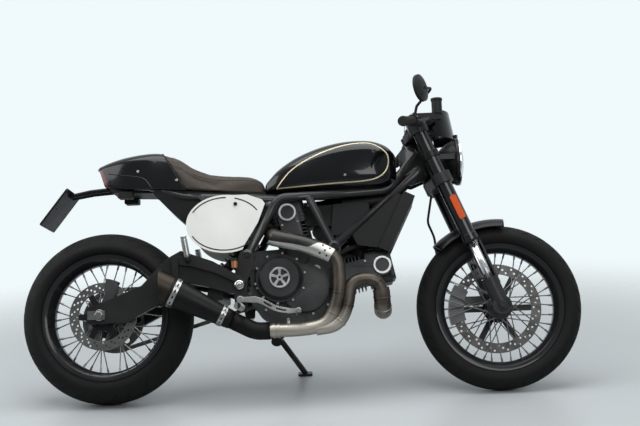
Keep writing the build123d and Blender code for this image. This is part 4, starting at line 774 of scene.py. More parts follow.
# Trellis frame: steel tubes in satin black, with bolted bosses at the engine's lugs.
# It keeps its solid, welded and smoothed; the socket screws at the bosses are set out.
frame_black = finish("frame_black", (0.02, 0.02, 0.021), 0.34, coat=0.3, tone=0.25, grain=500, bump=0.06)
BOSS, APEX = Vector((532, 0, 512)), Vector((845, 0, 537))
dress("frame", frame_black, crease=45)
boss_bolts = []
for side in (1, -1):
    boss_bolts.append((BOSS + LEFT * side * 150, LEFT * side, FORWARD, (14, 14, 6)))
    boss_bolts.append((APEX + LEFT * side * 131, LEFT * side, FORWARD, (12, 12, 7)))
set_out("frame_bolts", boss_bolts, socket_head, screw_black, "chassis")

# Engine: an air-cooled twin in dark coated castings, its fins bare at the edges.
# Belt covers carry turned rings, the clutch cover a five-armed bright ring, and screws hold all of them.
CRANK, CASE_HALF = Vector((735, 0, 405)), 85
CLUTCH, CLUTCH_FACE = Vector((646, 0, 430)), -137
BANKS = [
    (Vector((cos(radians(angle)), 0, sin(radians(angle)))), cap_at) for angle, cap_at in ((12, 287), (102, 272))
]
engine_grey = finish(
    "engine_grey", (0.06, 0.06, 0.062), 0.46, metal=0.55, tone=0.3, blotch=14, grain=300, bump=0.3
)
fin_grey = finish(
    "fin_grey", (0.045, 0.045, 0.047), 0.44, metal=0.6, tone=0.35, blotch=20, grain=340, bump=0.25
)
cover_grey = finish(
    "cover_grey", (0.042, 0.042, 0.043), 0.4, metal=0.45, tone=0.25, blotch=12, grain=380, bump=0.2
)
ring_bright = brushed("ring_bright", (0.52, 0.52, 0.52), 0.36, (50, 50, 50))
dress("crankcase", engine_grey, bevel=3.0)
dress("front_cylinder", fin_grey, bevel=0.7)
dress("rear_cylinder", fin_grey, bevel=0.7)
dress("engine_covers", cover_grey, bevel=2.5)
bm = bmesh.new()
face = Vector((CLUTCH.x, CLUTCH_FACE, CLUTCH.z))
spin(bm, [(30.5, 0), (38, 0), (38, 5), (36.5, 6.5), (32, 6.5), (30.5, 5)], face, -LEFT, 72)
spin(bm, [(5, 0), (12, 0), (12, 6), (10.5, 7.5), (5, 7.5)], face, -LEFT, 40)
for arm in range(5):
    turn = radians(90 + 72 * arm)
    out, side_way = Vector((cos(turn), 0, sin(turn))), Vector((-sin(turn), 0, cos(turn)))
    footprint = ((11, 4), (31.5, 5.5), (31.5, -5.5), (11, -4))
    corners = [face + out * r + side_way * w - LEFT * d for d in (0, 5.5) for r, w in footprint]
    made = [bm.verts.new(corner) for corner in corners]
    for quad in ((0, 1, 2, 3), (7, 6, 5, 4), (0, 4, 5, 1), (1, 5, 6, 2), (2, 6, 7, 3), (3, 7, 4, 0)):
        bm.faces.new([made[i] for i in quad])
for bank, cap_at in BANKS:
    ring = [(24, -0.5), (33, -0.5), (33, 2.5), (31.5, 4), (25.5, 4), (24, 2.5)]
    spin(bm, ring, CRANK + bank * cap_at - LEFT * 105, -LEFT, 64)
spin(bm, [(8, -0.5), (15, -0.5), (15, 12), (13.5, 14), (8, 14)], Vector((778, -CASE_HALF, 460)), -LEFT, 40)
piece("cover_rings", bm, ring_bright, "chassis", crease=30)
bosses, heads = [], []
clutch_rim = Vector((CLUTCH.x, -CASE_HALF, CLUTCH.z))
for place, way, along, size in ring_of(clutch_rim, -LEFT, 91, 10, (7, 7, 26), radians(11)):
    bosses.append((place, way, along, size))
    heads.append((place + way * 26, way, along, (4.6, 4.6, 4.5)))
for bank, _ in BANKS:
    beside = Vector((-bank.z, 0, bank.x))
    for along_by, side in ((150, 1), (150, -1), (230, 1), (230, -1)):
        heads.append((CRANK + bank * along_by + beside * 29 * side - LEFT * 102, -LEFT, bank, (4, 4, 4)))
for x, z in ((700, 300), (760, 300), (815, 330), (838, 395), (830, 450), (590, 320), (560, 400), (566, 470)):
    heads.append((Vector((x, -CASE_HALF, z)), -LEFT, FORWARD, (5, 5, 6)))
for x, z in ((560, 362), (560, 444), (640, 464), (730, 468), (778, 430), (778, 368), (730, 334), (610, 340)):
    heads.append((Vector((x, 124, z)), LEFT, FORWARD, (5, 5, 5)))
set_out("clutch_bosses", bosses, rod, cover_grey, "chassis")
set_out("engine_screws", heads, socket_head, screw_steel, "chassis")

# Exhaust: two heat-browned headers into one pipe, a fat elbow, and a black muffler with a bronze end.
# A two-part sheet shield guards the rider's leg; slotted steel straps hold the muffler.
HEADER_R, PIPE_Y, PIPE_Z = 24, -152, 240
header_brown = brushed("header_brown", (0.088, 0.076, 0.064), 0.48, (30, 60, 60), tone=0.35)
burnt_tree = header_brown.node_tree
pipe_place = burnt_tree.nodes["Texture Coordinate"].outputs["Object"]
pipe_height = add_node(burnt_tree, "ShaderNodeSeparateXYZ", {0: pipe_place}).outputs["Z"]
# Below a set height the header's colour is mixed towards a paler steel.
paler_below = add_node(
    burnt_tree, "ShaderNodeMapRange", {"Value": pipe_height, "From Min": 0.35, "From Max": 0.285}
).outputs[0]
burnt = add_node(burnt_tree, "ShaderNodeMix", data_type="RGBA", sockets={
    0: paler_below, 6: burnt_tree.nodes["Color Ramp"].outputs[0], 7: (0.38, 0.355, 0.31, 1),
})
burnt_tree.links.new(burnt.outputs[2], burnt_tree.nodes["Principled BSDF"].inputs["Base Color"])
elbow_black = finish("elbow_black", (0.0035, 0.0034, 0.0032), 0.56, tone=0.35, grain=420, bump=0.12)
muffler_black = finish(
    "muffler_black", (0.0045, 0.0044, 0.0042), 0.46, coat=0.0, tone=0.3, blotch=11, grain=500, bump=0.06
)
cap_bronze = brushed("cap_bronze", (0.034, 0.028, 0.023), 0.42, (40, 40, 40), tone=0.3)
strap_steel = brushed("strap_steel", (0.32, 0.32, 0.31), 0.36, (60, 60, 60))
shield_bright = brushed("shield_bright", (0.5, 0.49, 0.465), 0.44, (14, 90, 90))
shield_dark = brushed("shield_dark", (0.045, 0.044, 0.042), 0.44, (14, 90, 90))
dress("exhaust_elbow", elbow_black, crease=50)
dress("muffler", muffler_black, crease=50)
dress("muffler_end_cap", cap_bronze, bevel=1.2)


def join_rings(bm, rings, closed=False):
    """Skins a row of equal rings; an open row is closed at its two ends."""
    for i in range(0 if closed else 1, len(rings)):
        here, after = rings[i - 1], rings[i]
        for k in range(len(here)):
            bm.faces.new((here[k - 1], here[k], after[k], after[k - 1]))
    if not closed:
        bm.faces.new(rings[0])
        bm.faces.new(rings[-1][::-1])


def tube_along(bm, path, radius, sides=10, closed=False):
    """A round bead along a row of places."""
    rings = []
    count = len(path)
    turns = [2 * pi * k / sides for k in range(sides)]
    for i, here in enumerate(path):
        before = path[i - 1] if (i or closed) else here
        after = path[(i + 1) % count] if (i + 1 < count or closed) else here
        way = (after - before).normalized()
        first = (first - way * first.dot(way)).normalized() if rings else across(way)[0]
        second = way.cross(first)
        rings.append([bm.verts.new(here + (first * cos(t) + second * sin(t)) * radius) for t in turns])
    join_rings(bm, rings, closed)


def rounded_path(corners, steps=10):
    """A smooth line along a row of corners, which touches the middle of each stretch."""
    corners = [Vector(corner) for corner in corners]
    middles = [(a + b) / 2 for a, b in zip(corners, corners[1:])]
    line = [corners[0]]
    for a, b, c in zip(middles, corners[1:], middles[1:]):
        shares = [k / steps for k in range(steps)]
        line += [a * (1 - f) ** 2 + b * 2 * f * (1 - f) + c * f * f for f in shares]
    return line + [middles[-1], corners[-1]]


REAR_HEADER = rounded_path((
    (614, 0, 653), (582, 0, 645), (606, -64, 612), (636, -156, 569), (740, -167, 542), (856, -164, 502),
    (860, -160, 404), (852, -157, 338), (820, PIPE_Y, 262), (750, PIPE_Y, PIPE_Z), (608, PIPE_Y, PIPE_Z),
))
FRONT_HEADER = rounded_path((
    (1010, 0, 392), (1014, 0, 302), (1010, -130, 302), (1006, -146, 410), (898, -149, 410), (886, -150, 318),
    (850, -150, 250), (770, PIPE_Y, PIPE_Z),
))
bm = bmesh.new()
tube_along(bm, REAR_HEADER, HEADER_R, sides=40)
tube_along(bm, FRONT_HEADER, HEADER_R - 0.4, sides=40)
tube_along(bm, FRONT_HEADER[8:24], HEADER_R + 6, sides=40)
WELD = [(HEADER_R - 1, -4), (HEADER_R + 1, -3), (HEADER_R + 1.6, 0), (HEADER_R + 1, 3), (HEADER_R - 1, 4)]
RIDGE = [(HEADER_R + 5, -3), (HEADER_R + 8, -1), (HEADER_R + 8, 1), (HEADER_R + 5, 3)]
for line, rounds, outline in (
    (REAR_HEADER, (62, 72), WELD), (FRONT_HEADER, (26, 46, 54), WELD), (FRONT_HEADER, (12, 16, 20), RIDGE)
):
    for k in rounds:
        spin(bm, outline, line[k], line[k + 1] - line[k - 1], 48)
clamp = [(HEADER_R - 1, 0), (27, 0), (27, 9), (25, 10), (25, 16), (27, 17), (27, 26), (HEADER_R - 1, 26)]
spin(bm, clamp, Vector((617, PIPE_Y, PIPE_Z)), FORWARD, 56)
boss = [(0, 18), (9, 18), (9, 40), (6, 43), (0, 43)]
spin(bm, boss, Vector((674, PIPE_Y, PIPE_Z)), UP, 6, closed=False)
piece("header_pipes", bm, header_brown, "chassis", ["exhaust_headers"], crease=50)


def pierced_sheet(bm, columns, rows, holes, place, thick):
    """A sheet of cells laid out by place(u, v, lift); the cells named in holes are pierced."""
    def cell_edge(u0, u1, v0, v1):
        cut = 3
        edge = [(u0 + (u1 - u0) * k / cut, v0) for k in range(cut)]
        edge += [(u1, v0 + (v1 - v0) * k / cut) for k in range(cut)]
        edge += [(u1 - (u1 - u0) * k / cut, v1) for k in range(cut)]
        return edge + [(u0, v1 - (v1 - v0) * k / cut) for k in range(cut)]

    for i in range(len(columns) - 1):
        for j in range(len(rows) - 1):
            u0, u1, v0, v1 = columns[i], columns[i + 1], rows[j], rows[j + 1]
            edge = cell_edge(u0, u1, v0, v1)
            middle = ((u0 + u1) / 2, (v0 + v1) / 2)
            open_by = 0.56 if (i, j) in holes else 0.0
            loops = []
            for lift in (thick, 0):
                outer = [bm.verts.new(place(u, v, lift)) for u, v in edge]
                inner = []
                for u, v in edge:
                    du, dv = (u - middle[0]) / (u1 - u0) * 2, (v - middle[1]) / (v1 - v0) * 2
                    share = open_by / max(1e-6, sqrt(du * du + dv * dv)) / 2
                    inner.append((middle[0] + du * share * (u1 - u0), middle[1] + dv * share * (v1 - v0)))
                if open_by:
                    inner = [bm.verts.new(place(u, v, lift)) for u, v in inner]
                else:
                    inner = [bm.verts.new(place(middle[0], middle[1], lift))] * len(edge)
                loops.append((outer, inner))
                for k in range(len(edge)):
                    ring = [outer[k - 1], outer[k], inner[k], inner[k - 1]]
                    ring = ring if open_by else ring[:3]
                    bm.faces.new(ring if lift else ring[::-1])
            if open_by:
                (_, high), (_, low) = loops
                for k in range(len(edge)):
                    bm.faces.new((high[k - 1], high[k], low[k], low[k - 1]))
            last_i, last_j = len(columns) - 2, len(rows) - 2
            sides = ((j == 0, 0, 3), (i == last_i, 3, 6), (j == last_j, 6, 9), (i == 0, 9, 12))
            (high, _), (low, _) = loops
            for on_rim, start, stop in sides:
                for k in range(start, stop if on_rim else start):
                    a, b = k, (k + 1) % len(edge)
                    bm.faces.new((high[b], high[a], low[a], low[b]))


ELBOW, MUFFLER_BACK = Vector((556, PIPE_Y, PIPE_Z)), Vector((230, -216, 406))
muffler_way = (MUFFLER_BACK - ELBOW).normalized()
MUFFLER_FRONT = ELBOW + muffler_way * 95
MUFFLER_LONG = (MUFFLER_BACK - MUFFLER_FRONT).length
STRAP_HALF, STRAP_CELLS = 9, 14
bm = bmesh.new()
first, second = across(muffler_way)
for along in (36, 222):
    def on_strap(u, v, lift):
        size = 33.4 + 20 * (along + v) / (MUFFLER_LONG - 34) + lift
        out = first * cos(u) + second * sin(u)
        return MUFFLER_FRONT + muffler_way * (along + v) + out * size
    turns = [2 * pi * k / STRAP_CELLS for k in range(STRAP_CELLS + 1)]
    slots = {(k, 1) for k in range(STRAP_CELLS)}
    pierced_sheet(bm, turns, [-STRAP_HALF, -5, 5, STRAP_HALF], slots, on_strap, 2.6)
piece("slotted_straps", bm, strap_steel, "chassis", ["muffler_straps"], crease=40)
bm = bmesh.new()
add_box(bm, (22, 7, 116), (275, -165.5, 454))
piece("muffler_hanger", bm, arm_black, "chassis", crease=40)

SHIELD_PATH = [
    Vector(p)
    for p in ((590, -152, 582), (640, -156.4, 568), (740, -166, 540), (836, -164.3, 497), (872, -162, 460))
]
SHIELD_R = HEADER_R + 5


def eased(a, b, c, d, f):
    """A place between b and c, at a share f, on the smooth line through four places."""
    bend, twist = a - b * 2.5 + c * 2 - d * 0.5, b * 1.5 - a * 0.5 - c * 1.5 + d * 0.5
    return b + (c - a) * 0.5 * f + bend * f * f + twist * f**3


def along_path(path, t):
    """A smooth place between the second and the last but one point of a path, t counting points."""
    i = min(int(t), len(path) - 4)
    return eased(*path[i:i + 4], t - i)


def on_shield(u, v, lift):
    """Places round the rear header: u along it, v in degrees up from its outer side."""
    centre = along_path(SHIELD_PATH, u)
    way = (along_path(SHIELD_PATH, u + 0.02) - along_path(SHIELD_PATH, u - 0.02)).normalized()
    out = (-LEFT + way * way.y).normalized()
    rise = way.cross(out) if way.cross(out).z > 0 else out.cross(way)
    return centre + (out * cos(radians(v)) + rise * sin(radians(v))) * (SHIELD_R + lift)


def shield_split(u):
    """How far up the bright lower sheet reaches, in degrees; it widens into the pierced end."""
    ease = max(0.0, min(1.0, (u - 1.1) / 0.4))
    ease = ease * ease * (3 - 2 * ease)
    return (1 - ease) * (12 * u - 28) + ease * 50


def on_lower(u, v, lift):
    """A place on the bright lower sheet of the shield."""
    low = 8 * u - 80
    return on_shield(u, low + (shield_split(u) - low) * v, lift)


def on_upper(u, v, lift):
    """A place on the dark upper sheet of the shield."""
    return on_shield(u, shield_split(u) + 2 + (84 - shield_split(u)) * v, lift)


columns = [-0.4, -0.27, -0.13] + [k / 14 for k in range(15)] + [1 + k / 8 for k in range(1, 9)]
bright, dark = bmesh.new(), bmesh.new()
shield_holes = {(21, 3), (23, 3), (22, 2), (21, 1), (23, 1)}
pierced_sheet(bright, columns, [0, 0.25, 0.5, 0.75, 1], shield_holes, on_lower, 1.8)
pierced_sheet(dark, columns[:22], [0, 0.33, 0.67, 1], set(), on_upper, 2.4)
piece("shield_lower", bright, shield_bright, "chassis", ["heat_shield"], crease=40)
piece("shield_upper", dark, shield_dark, "chassis", crease=40)

# Fuel tank: a pressed steel teardrop in gloss black with a thin cream line round each side.
# Its form is a smooth loft of the sections that the solid has; the line lies on the paint.
SIDE_SLOPE = 1 / tan(radians(82))
TANK = [
    (598, 74, 746, 786, 16, 16), (650, 104, 746, 838, 34, 34), (740, 134, 745, 889, 48, 48),
    (860, 152, 744, 924, 56, 56), (980, 150, 744, 930, 56, 56), (1050, 124, 750, 911, 50, 50),
    (1084, 92, 768, 878, 40, 40),
]


def row_at(table, x):
    """Section sizes at a place along the bike, eased between the rows of a table."""
    rows = [Vector(row) for row in table]
    i = max(0, min(len(rows) - 2, sum(1 for row in rows if row[0] <= x) - 1))
    before, a, b, after = rows[max(i - 1, 0)], rows[i], rows[i + 1], rows[min(i + 2, len(rows) - 1)]
    gap = b[0] - a[0]
    t = (x - a[0]) / gap
    leave = (b - before) * (gap / (b[0] - before[0]))
    reach = (after - a) * (gap / (after[0] - a[0]))
    rise = 3 * t**2 - 2 * t**3
    return a * (1 - rise) + leave * (t**3 - 2 * t**2 + t) + b * rise + reach * (t**3 - t**2)


def section(row, shrink=0.0, corner_steps=9):
    """Points round a trapezoid with rounded corners, as (left, up)."""
    _, half, low, top, round_top, round_low = row
    half, low, top = half - shrink, low + shrink, top - shrink
    top_half = half - (top - low) * SIDE_SLOPE
    corners = [
        ((half, low), round_low), ((top_half, top), round_top),
        ((-top_half, top), round_top), ((-half, low), round_low),
    ]
    points = []
    for i, (corner, radius) in enumerate(corners):
        here = Vector(corner)
        back = (Vector(corners[i - 1][0]) - here).normalized()
        on = (Vector(corners[(i + 1) % 4][0]) - here).normalized()
        angle = back.angle(on)
        radius = max(2.0, radius - shrink)
        centre = here + (back + on).normalized() * (radius / sin(angle / 2))
        reach = radius / tan(angle / 2)
        start, stop = here + back * reach - centre, here + on * reach - centre
        sweep_by = start.angle(stop)
        for k in range(corner_steps + 1):
            share = k / corner_steps
            mix = (start * sin((1 - share) * sweep_by) + stop * sin(share * sweep_by)) / sin(sweep_by)
            points.append(centre + mix)
    return points


def loft(bm, table, step=9.0, end_round=9.0, shrink=0.0):
    """A smooth body through a table of sections, with rounded ends."""
    start, long = table[0][0], table[-1][0] - table[0][0]
    bows = [radians(angle) for angle in (85, 60, 35, 12)]
    nose = [(shrink + end_round * (1 - sin(bow)), shrink + end_round * (1 - cos(bow))) for bow in bows]
    count = int((long - 2 * end_round) / step)
    end = shrink + end_round
    inner = [(end + (long - 2 * end) * k / count, shrink) for k in range(count + 1)]
    tail = [(long - x, inset) for x, inset in nose[::-1]]
    rings = []
    for x, inset in nose + inner + tail:
        rings.append([bm.verts.new((start + x, y, z)) for y, z in section(row_at(table, start + x), inset)])
    join_rings(bm, rings)


def side_at(table, x, z):
    """How far left a lofted body reaches at a place along it and a height."""
    ring = section(row_at(table, x), corner_steps=24)
    best = 0.0
    for a, b in zip(ring, ring[1:]):
        if a.x > 0 and min(a.y, b.y) - 1e-6 <= z <= max(a.y, b.y) + 1e-6 and abs(b.y - a.y) > 1e-9:
            best = max(best, a.x + (b.x - a.x) * (z - a.y) / (b.y - a.y))
    return best


bm = bmesh.new()
loft(bm, TANK)
piece("tank_shell", bm, gloss_black, "chassis", ["fuel_tank"], crease=60)
STRIPE = [
    (641, 762), (696, 823), (773, 867), (868, 901), (944, 914), (999, 910), (1046, 880), (1056, 846),
    (1043, 806), (1011, 780), (956, 769), (861, 766), (733, 763),
]
STRIPE_HALF, STRIPE_LIFT, STRIPE_ROOT = 2.1, 0.5, -0.6
STRIPE_EDGES = (
    (-STRIPE_HALF, STRIPE_ROOT), (-STRIPE_HALF, STRIPE_LIFT),
    (STRIPE_HALF, STRIPE_LIFT), (STRIPE_HALF, STRIPE_ROOT),
)
stripe_cream = finish("stripe_cream", (0.72, 0.62, 0.42), 0.3, coat=0.6, tone=0.1, blotch=20)


def closed_curve(points, per_span):
    """A smooth closed line through points, sharp at the first one."""
    knots = [Vector(p) for p in points]
    out = []
    for i in range(len(knots)):
        a, b, c, d = knots[i - 1], knots[i], knots[(i + 1) % len(knots)], knots[(i + 2) % len(knots)]
        a = b if i == 0 else a
        d = c if i == len(knots) - 1 else d
        out += [eased(a, b, c, d, k / per_span) for k in range(per_span)]
    return out


line = closed_curve(STRIPE, 10)
bm = bmesh.new()
for side in (1, -1):
    rows = []
    for i, here in enumerate(line):
        way = (line[(i + 1) % len(line)] - line[i - 1]).normalized()
        square = Vector((-way.y, way.x))
        quad = []
        for off, lift in STRIPE_EDGES:
            spot = here + square * off
            quad.append(bm.verts.new((spot.x, side * (side_at(TANK, spot.x, spot.y) + lift), spot.y)))
        rows.append(quad)
    join_rings(bm, rows, closed=True)
piece("tank_lines", bm, stripe_cream, "chassis", crease=60)
CAP = Vector((930, 0, 914))
cap_black = finish("cap_black", (0.02, 0.02, 0.021), 0.3, metal=0.6, coat=0.3, tone=0.2)
bm = bmesh.new()
lid = [(0, 21), (20, 21), (22, 19.5), (34, 19.5), (36, 21), (42, 20), (46, 17), (48, 14), (48, 0), (0, 0)]
spin(bm, lid, CAP, UP, 72, closed=False)
piece("filler_cap", bm, cap_black, "chassis", ["fuel_cap"])
lid_ring = ring_of(CAP + UP * 18, UP, 40, 8, (2.6, 2.6, 3.4))
set_out("filler_screws", lid_ring, socket_head, screw_steel, "chassis")


def skin_screws(table, spots, sunk, size):
    """Screws on both sides of a lofted body, sunk a little into its skin."""
    return [
        (Vector((x, side * (side_at(table, x, z) - sunk), z)), Vector((0, side, 0.14)), FORWARD, size)
        for side in (1, -1) for x, z in spots
    ]


tank_screws = skin_screws(TANK, [(895, 792)], 1, (4.5, 4.5, 4))
set_out("tank_screws", tank_screws, socket_head, screw_steel, "chassis")

# Seat and tail cowl: a foam pad under brown leather that runs into a gloss black moulded tail.
# Both are cut from one smooth loft along the slanted seam; the pad is swollen as cloth, then sewn.
TAIL = [
    (-34, 48, 812, 884, 24, 10), (14, 66, 798, 902, 34, 10), (79, 88, 786, 916, 40, 10),
    (163, 107, 778, 923, 42, 10), (222, 114, 774, 918, 42, 10), (272, 117, 770, 896, 38, 10),
    (330, 118, 764, 856, 32, 10), (390, 116, 758, 830, 28, 10), (450, 110, 752, 821, 26, 10),
    (560, 82, 744, 814, 22, 10), (598, 64, 744, 794, 16, 10),
]
SEAM_AT, SEAM_WAY = Vector((262, 0, 846)), Vector((0.859, 0, 0.512)).normalized()
TAIL_END, TAIL_WAY = Vector((-20, 0, 894)), Vector((-0.94, 0, -0.342)).normalized()
PAD_SHRINK, PAD_GROWTH, PAD_VOXEL = 4.5, 7.0, 5.0
PAD_PRESSURE, PAD_STIFF, PAD_BEND, PAD_FRAMES = 4.0, 18, 0.8, 20


def cut_off(bm, at, way):
    """Takes away what lies beyond a plane and closes the cut."""
    geometry = bm.verts[:] + bm.edges[:] + bm.faces[:]
    cut = bmesh.ops.bisect_plane(bm, geom=geometry, plane_co=at, plane_no=way, clear_outer=True)["geom_cut"]
    rim = [edge for edge in cut if isinstance(edge, bmesh.types.BMEdge)]
    bmesh.ops.holes_fill(bm, edges=rim, sides=0)
    return [vert.co.copy() for vert in cut if isinstance(vert, bmesh.types.BMVert)]


bm = bmesh.new()
loft(bm, TAIL, step=8.0, end_round=10.0)
cut_off(bm, TAIL_END, TAIL_WAY)
seam_ring = cut_off(bm, SEAM_AT - SEAM_WAY * 0.6, SEAM_WAY)
piece("cowl_shell", bm, gloss_black, "chassis", ["tail_cowl"], crease=40)

leather = finish("leather", (0.043, 0.035, 0.029), 0.43, tone=0.3, blotch=7, grain=900, bump=0.25, spread=0.1)
cell_relief(leather, 620)
bm = bmesh.new()
loft(bm, TAIL, step=8.0, end_round=12.0, shrink=PAD_SHRINK)
cut_off(bm, SEAM_AT + SEAM_WAY * 0.6, -SEAM_WAY)
pad = piece("seat_pad", bm, leather, "chassis", ["seat"], crease=60)
remesh = pad.modifiers.new("even_skin", "REMESH")
remesh.mode, remesh.voxel_size = "VOXEL", PAD_VOXEL * MM
graph = bpy.context.evaluated_depsgraph_get()
skin = bpy.data.meshes.new_from_object(pad.evaluated_get(graph))
pad.modifiers.clear()
pad.data = skin
upright_again = PARK.inverted()
held = pad.vertex_groups.new(name="held")
for vert in skin.vertices:
    spot = upright_again @ vert.co
    low = row_at(TAIL, max(-30, min(594, spot.x)))[2] + PAD_SHRINK
    if spot.z < low + 6 or (spot - SEAM_AT).dot(SEAM_WAY) < 5:
        held.add([vert.index], 1.0, "REPLACE")
cloth = pad.modifiers.new("swelling", "CLOTH")
cloth.settings.quality = 6
cloth.settings.use_pressure = True
cloth.settings.uniform_pressure_force = PAD_PRESSURE
cloth.settings.vertex_group_mass = "held"
cloth.settings.effector_weights.gravity = 0.0
cloth.settings.tension_stiffness = cloth.settings.compression_stiffness = PAD_STIFF
cloth.settings.bending_stiffness = PAD_BEND
cloth.collision_settings.use_collision = False
cloth.point_cache.frame_start, cloth.point_cache.frame_end = 1, PAD_FRAMES
start = [vert.co.copy() for vert in skin.vertices]
for step in range(1, PAD_FRAMES + 1):
    scene.frame_set(step)
graph = bpy.context.evaluated_depsgraph_get()
swollen = bpy.data.meshes.new_from_object(pad.evaluated_get(graph))
pad.modifiers.clear()
scene.frame_set(1)
for vert, before in zip(swollen.vertices, start):
    moved = vert.co - before
    if moved.length > PAD_GROWTH * MM:
        vert.co = before + moved * (PAD_GROWTH * MM / moved.length)
pad.data = swollen
swollen.polygons.foreach_set("use_smooth", [True] * len(swollen.polygons))
smooth = pad.modifiers.new("fine_skin", "SUBSURF")
smooth.levels = smooth.render_levels = 1
pad.data.name = "seat_pad"
if not pad.data.materials:
    pad.data.materials.append(leather)

middle = sum(seam_ring, Vector()) / len(seam_ring)
seam_up = Vector((-SEAM_WAY.z, 0, SEAM_WAY.x))
seam_ring.sort(key=lambda p: atan2((p - middle).dot(LEFT), (p - middle).dot(seam_up)))
bm = bmesh.new()
tube_along(bm, [p - (p - middle).normalized() * 1.0 for p in seam_ring], 2.6, closed=True)
piece("seat_piping", bm, plastic_black, "chassis", crease=60)
pad_mesh = bmesh.new()
pad_mesh.from_mesh(pad.data)
pad_mesh.transform(PARK.inverted())
pad_skin = BVHTree.FromBMesh(pad_mesh)
pad_mesh.free()
welt, threads = bmesh.new(), []
for side in (1, -1):
    path = []
    for x in range(330, 590, 6):
        row = row_at(TAIL, x)
        z = row[3] - row[4] * 0.72
        hit = pad_skin.ray_cast(Vector((x, side * 300, z)), -LEFT * side)[0]
        if hit:
            path.append(hit)
    tube_along(welt, path, 1.5, sides=8)
    for here, after in zip(path, path[1:]):
        low_hit = pad_skin.ray_cast(Vector((here.x, side * 300, here.z - 5)), -LEFT * side)[0]
        if low_hit:
            threads.append((low_hit + LEFT * side * 0.2, after - here, LEFT * side, (0.7, 0.7, 3.8)))
piece("seat_welt", welt, leather, "chassis", crease=60)
thread = finish("thread", (0.2, 0.15, 0.1), 0.6, tone=0.2, blotch=60)
set_out("seat_stitches", threads, rod, thread, "chassis")
cowl_screws = skin_screws(TAIL, [(130, 850), (277, 807)], 1.5, (5, 5, 3.6))
set_out("cowl_screws", cowl_screws, socket_head, screw_steel, "chassis")
FOLD = [Vector((x, 0, z)) for x, z in (
    (-50, 864), (13, 852), (76, 839), (139, 826), (161, 813), (176, 792), (184, 782), (188, 776)
)]
fold = bmesh.new()
for side in (1, -1):
    path = []
    for k in range(41):
        spot = along_path(FOLD, k / 8)
        path.append(Vector((spot.x, side * (side_at(TAIL, spot.x, spot.z) - 0.9), spot.z)))
    tube_along(fold, path, 2.2, sides=10)
piece("cowl_fold", fold, gloss_black, "chassis", crease=60)

# Tail light, side covers and number plates: a red lens set in the tail, black panels and blank white ovals.
# Each plate is a flat moulding with a thin black line inside its rim and one screw.
red_lens = finish(
    "red_lens", (0.12, 0.002, 0.009), 0.2, coat=0.15, tone=0.3, blotch=40, bump=0.03, spread=0.04
)
cover_black = finish("cover_black", (0.009, 0.009, 0.0095), 0.42, tone=0.25, grain=700, bump=0.12)
plate_white = finish(
    "plate_white", (0.8, 0.8, 0.775), 0.32, coat=0.4, tone=0.06, blotch=6, grain=300, bump=0.03
)
line_black = finish("line_black", (0.012, 0.012, 0.012), 0.35, coat=0.3, tone=0.2)
LENS_DEEP, LENS_TOP = 13, Vector((0, 0, 873))
bm = bmesh.new()
loft(bm, TAIL, step=8.0, end_round=10.0, shrink=2.5)
cut_off(bm, TAIL_END + TAIL_WAY * LENS_DEEP, TAIL_WAY)
cut_off(bm, TAIL_END + TAIL_WAY * 0.2, -TAIL_WAY)
cut_off(bm, LENS_TOP, UP)
lens = piece("tail_lens", bm, red_lens, "chassis", ["tail_light"], crease=50)
break_edges(lens, 5, segments=4, angle=50, harden=False)
bm = bmesh.new()
loft(bm, TAIL, step=8.0, end_round=10.0)
cut_off(bm, TAIL_END + TAIL_WAY * 0.2, -TAIL_WAY)
cut_off(bm, LENS_TOP + UP * 0.4, -UP)
piece("cowl_lip", bm, gloss_black, "chassis", crease=40)
dress("side_covers", cover_black, bevel=2.0)
dress("number_plates", plate_white, bevel=1.2)
PLATE_X, PLATE_Z, PLATE_OUT, LINE_WIDE, LINE_TALL = 455, 632, 144, 132, 96
LINE_EDGES = ((-2.2, -0.5), (-2.2, 0.35), (2.2, 0.35), (2.2, -0.5))
bm = bmesh.new()
for side in (1, -1):
    for start, stop in ((28, 74), (88, 152), (205, 318)):
        rows = []
        count = (stop - start) // 2
        for k in range(count + 1):
            turn = radians(start + (stop - start) * k / count)
            rows.append([
                bm.verts.new((
                    PLATE_X + (LINE_WIDE + grow) * cos(turn), side * (PLATE_OUT + lift),
                    PLATE_Z + (LINE_TALL + grow) * sin(turn),
                ))
                for grow, lift in LINE_EDGES
            ])
        join_rings(bm, rows)
piece("plate_lines", bm, line_black, "chassis", crease=30)
plate_screws = [
    (Vector((PLATE_X + 39, side * PLATE_OUT, PLATE_Z + 71)), LEFT * side, FORWARD, (7, 7, 4))
    for side in (1, -1)
]
set_out("plate_screws", plate_screws, socket_head, screw_black, "chassis")

# Registration holder and indicators: black moulded plastic on two bent arms under the tail.
# They keep their solids with rounded edges; a flat tray closes the tail below, and the lenses are set out.
dress("plate_holder", fender_black, bevel=1.5)
dress("rear_indicators", plastic_black, bevel=4.0)


def pierced_plate(bm, outline, holes, near, far):
    """A flat plate drawn as (x, z) between two distances left, with holes through it."""
    faces = []
    for y in (near, far):
        loops = [[bm.verts.new((x, y, z)) for x, z in loop] for loop in [outline] + holes]
        rims = [bm.edges.new((loop[i - 1], loop[i])) for loop in loops for i in range(len(loop))]
        bmesh.ops.triangle_fill(bm, use_beauty=True, edges=rims)
        faces.append(loops)
    for a, b in zip(*faces):
        for i in range(len(a)):
            bm.faces.new((a[i - 1], a[i], b[i], b[i - 1]))


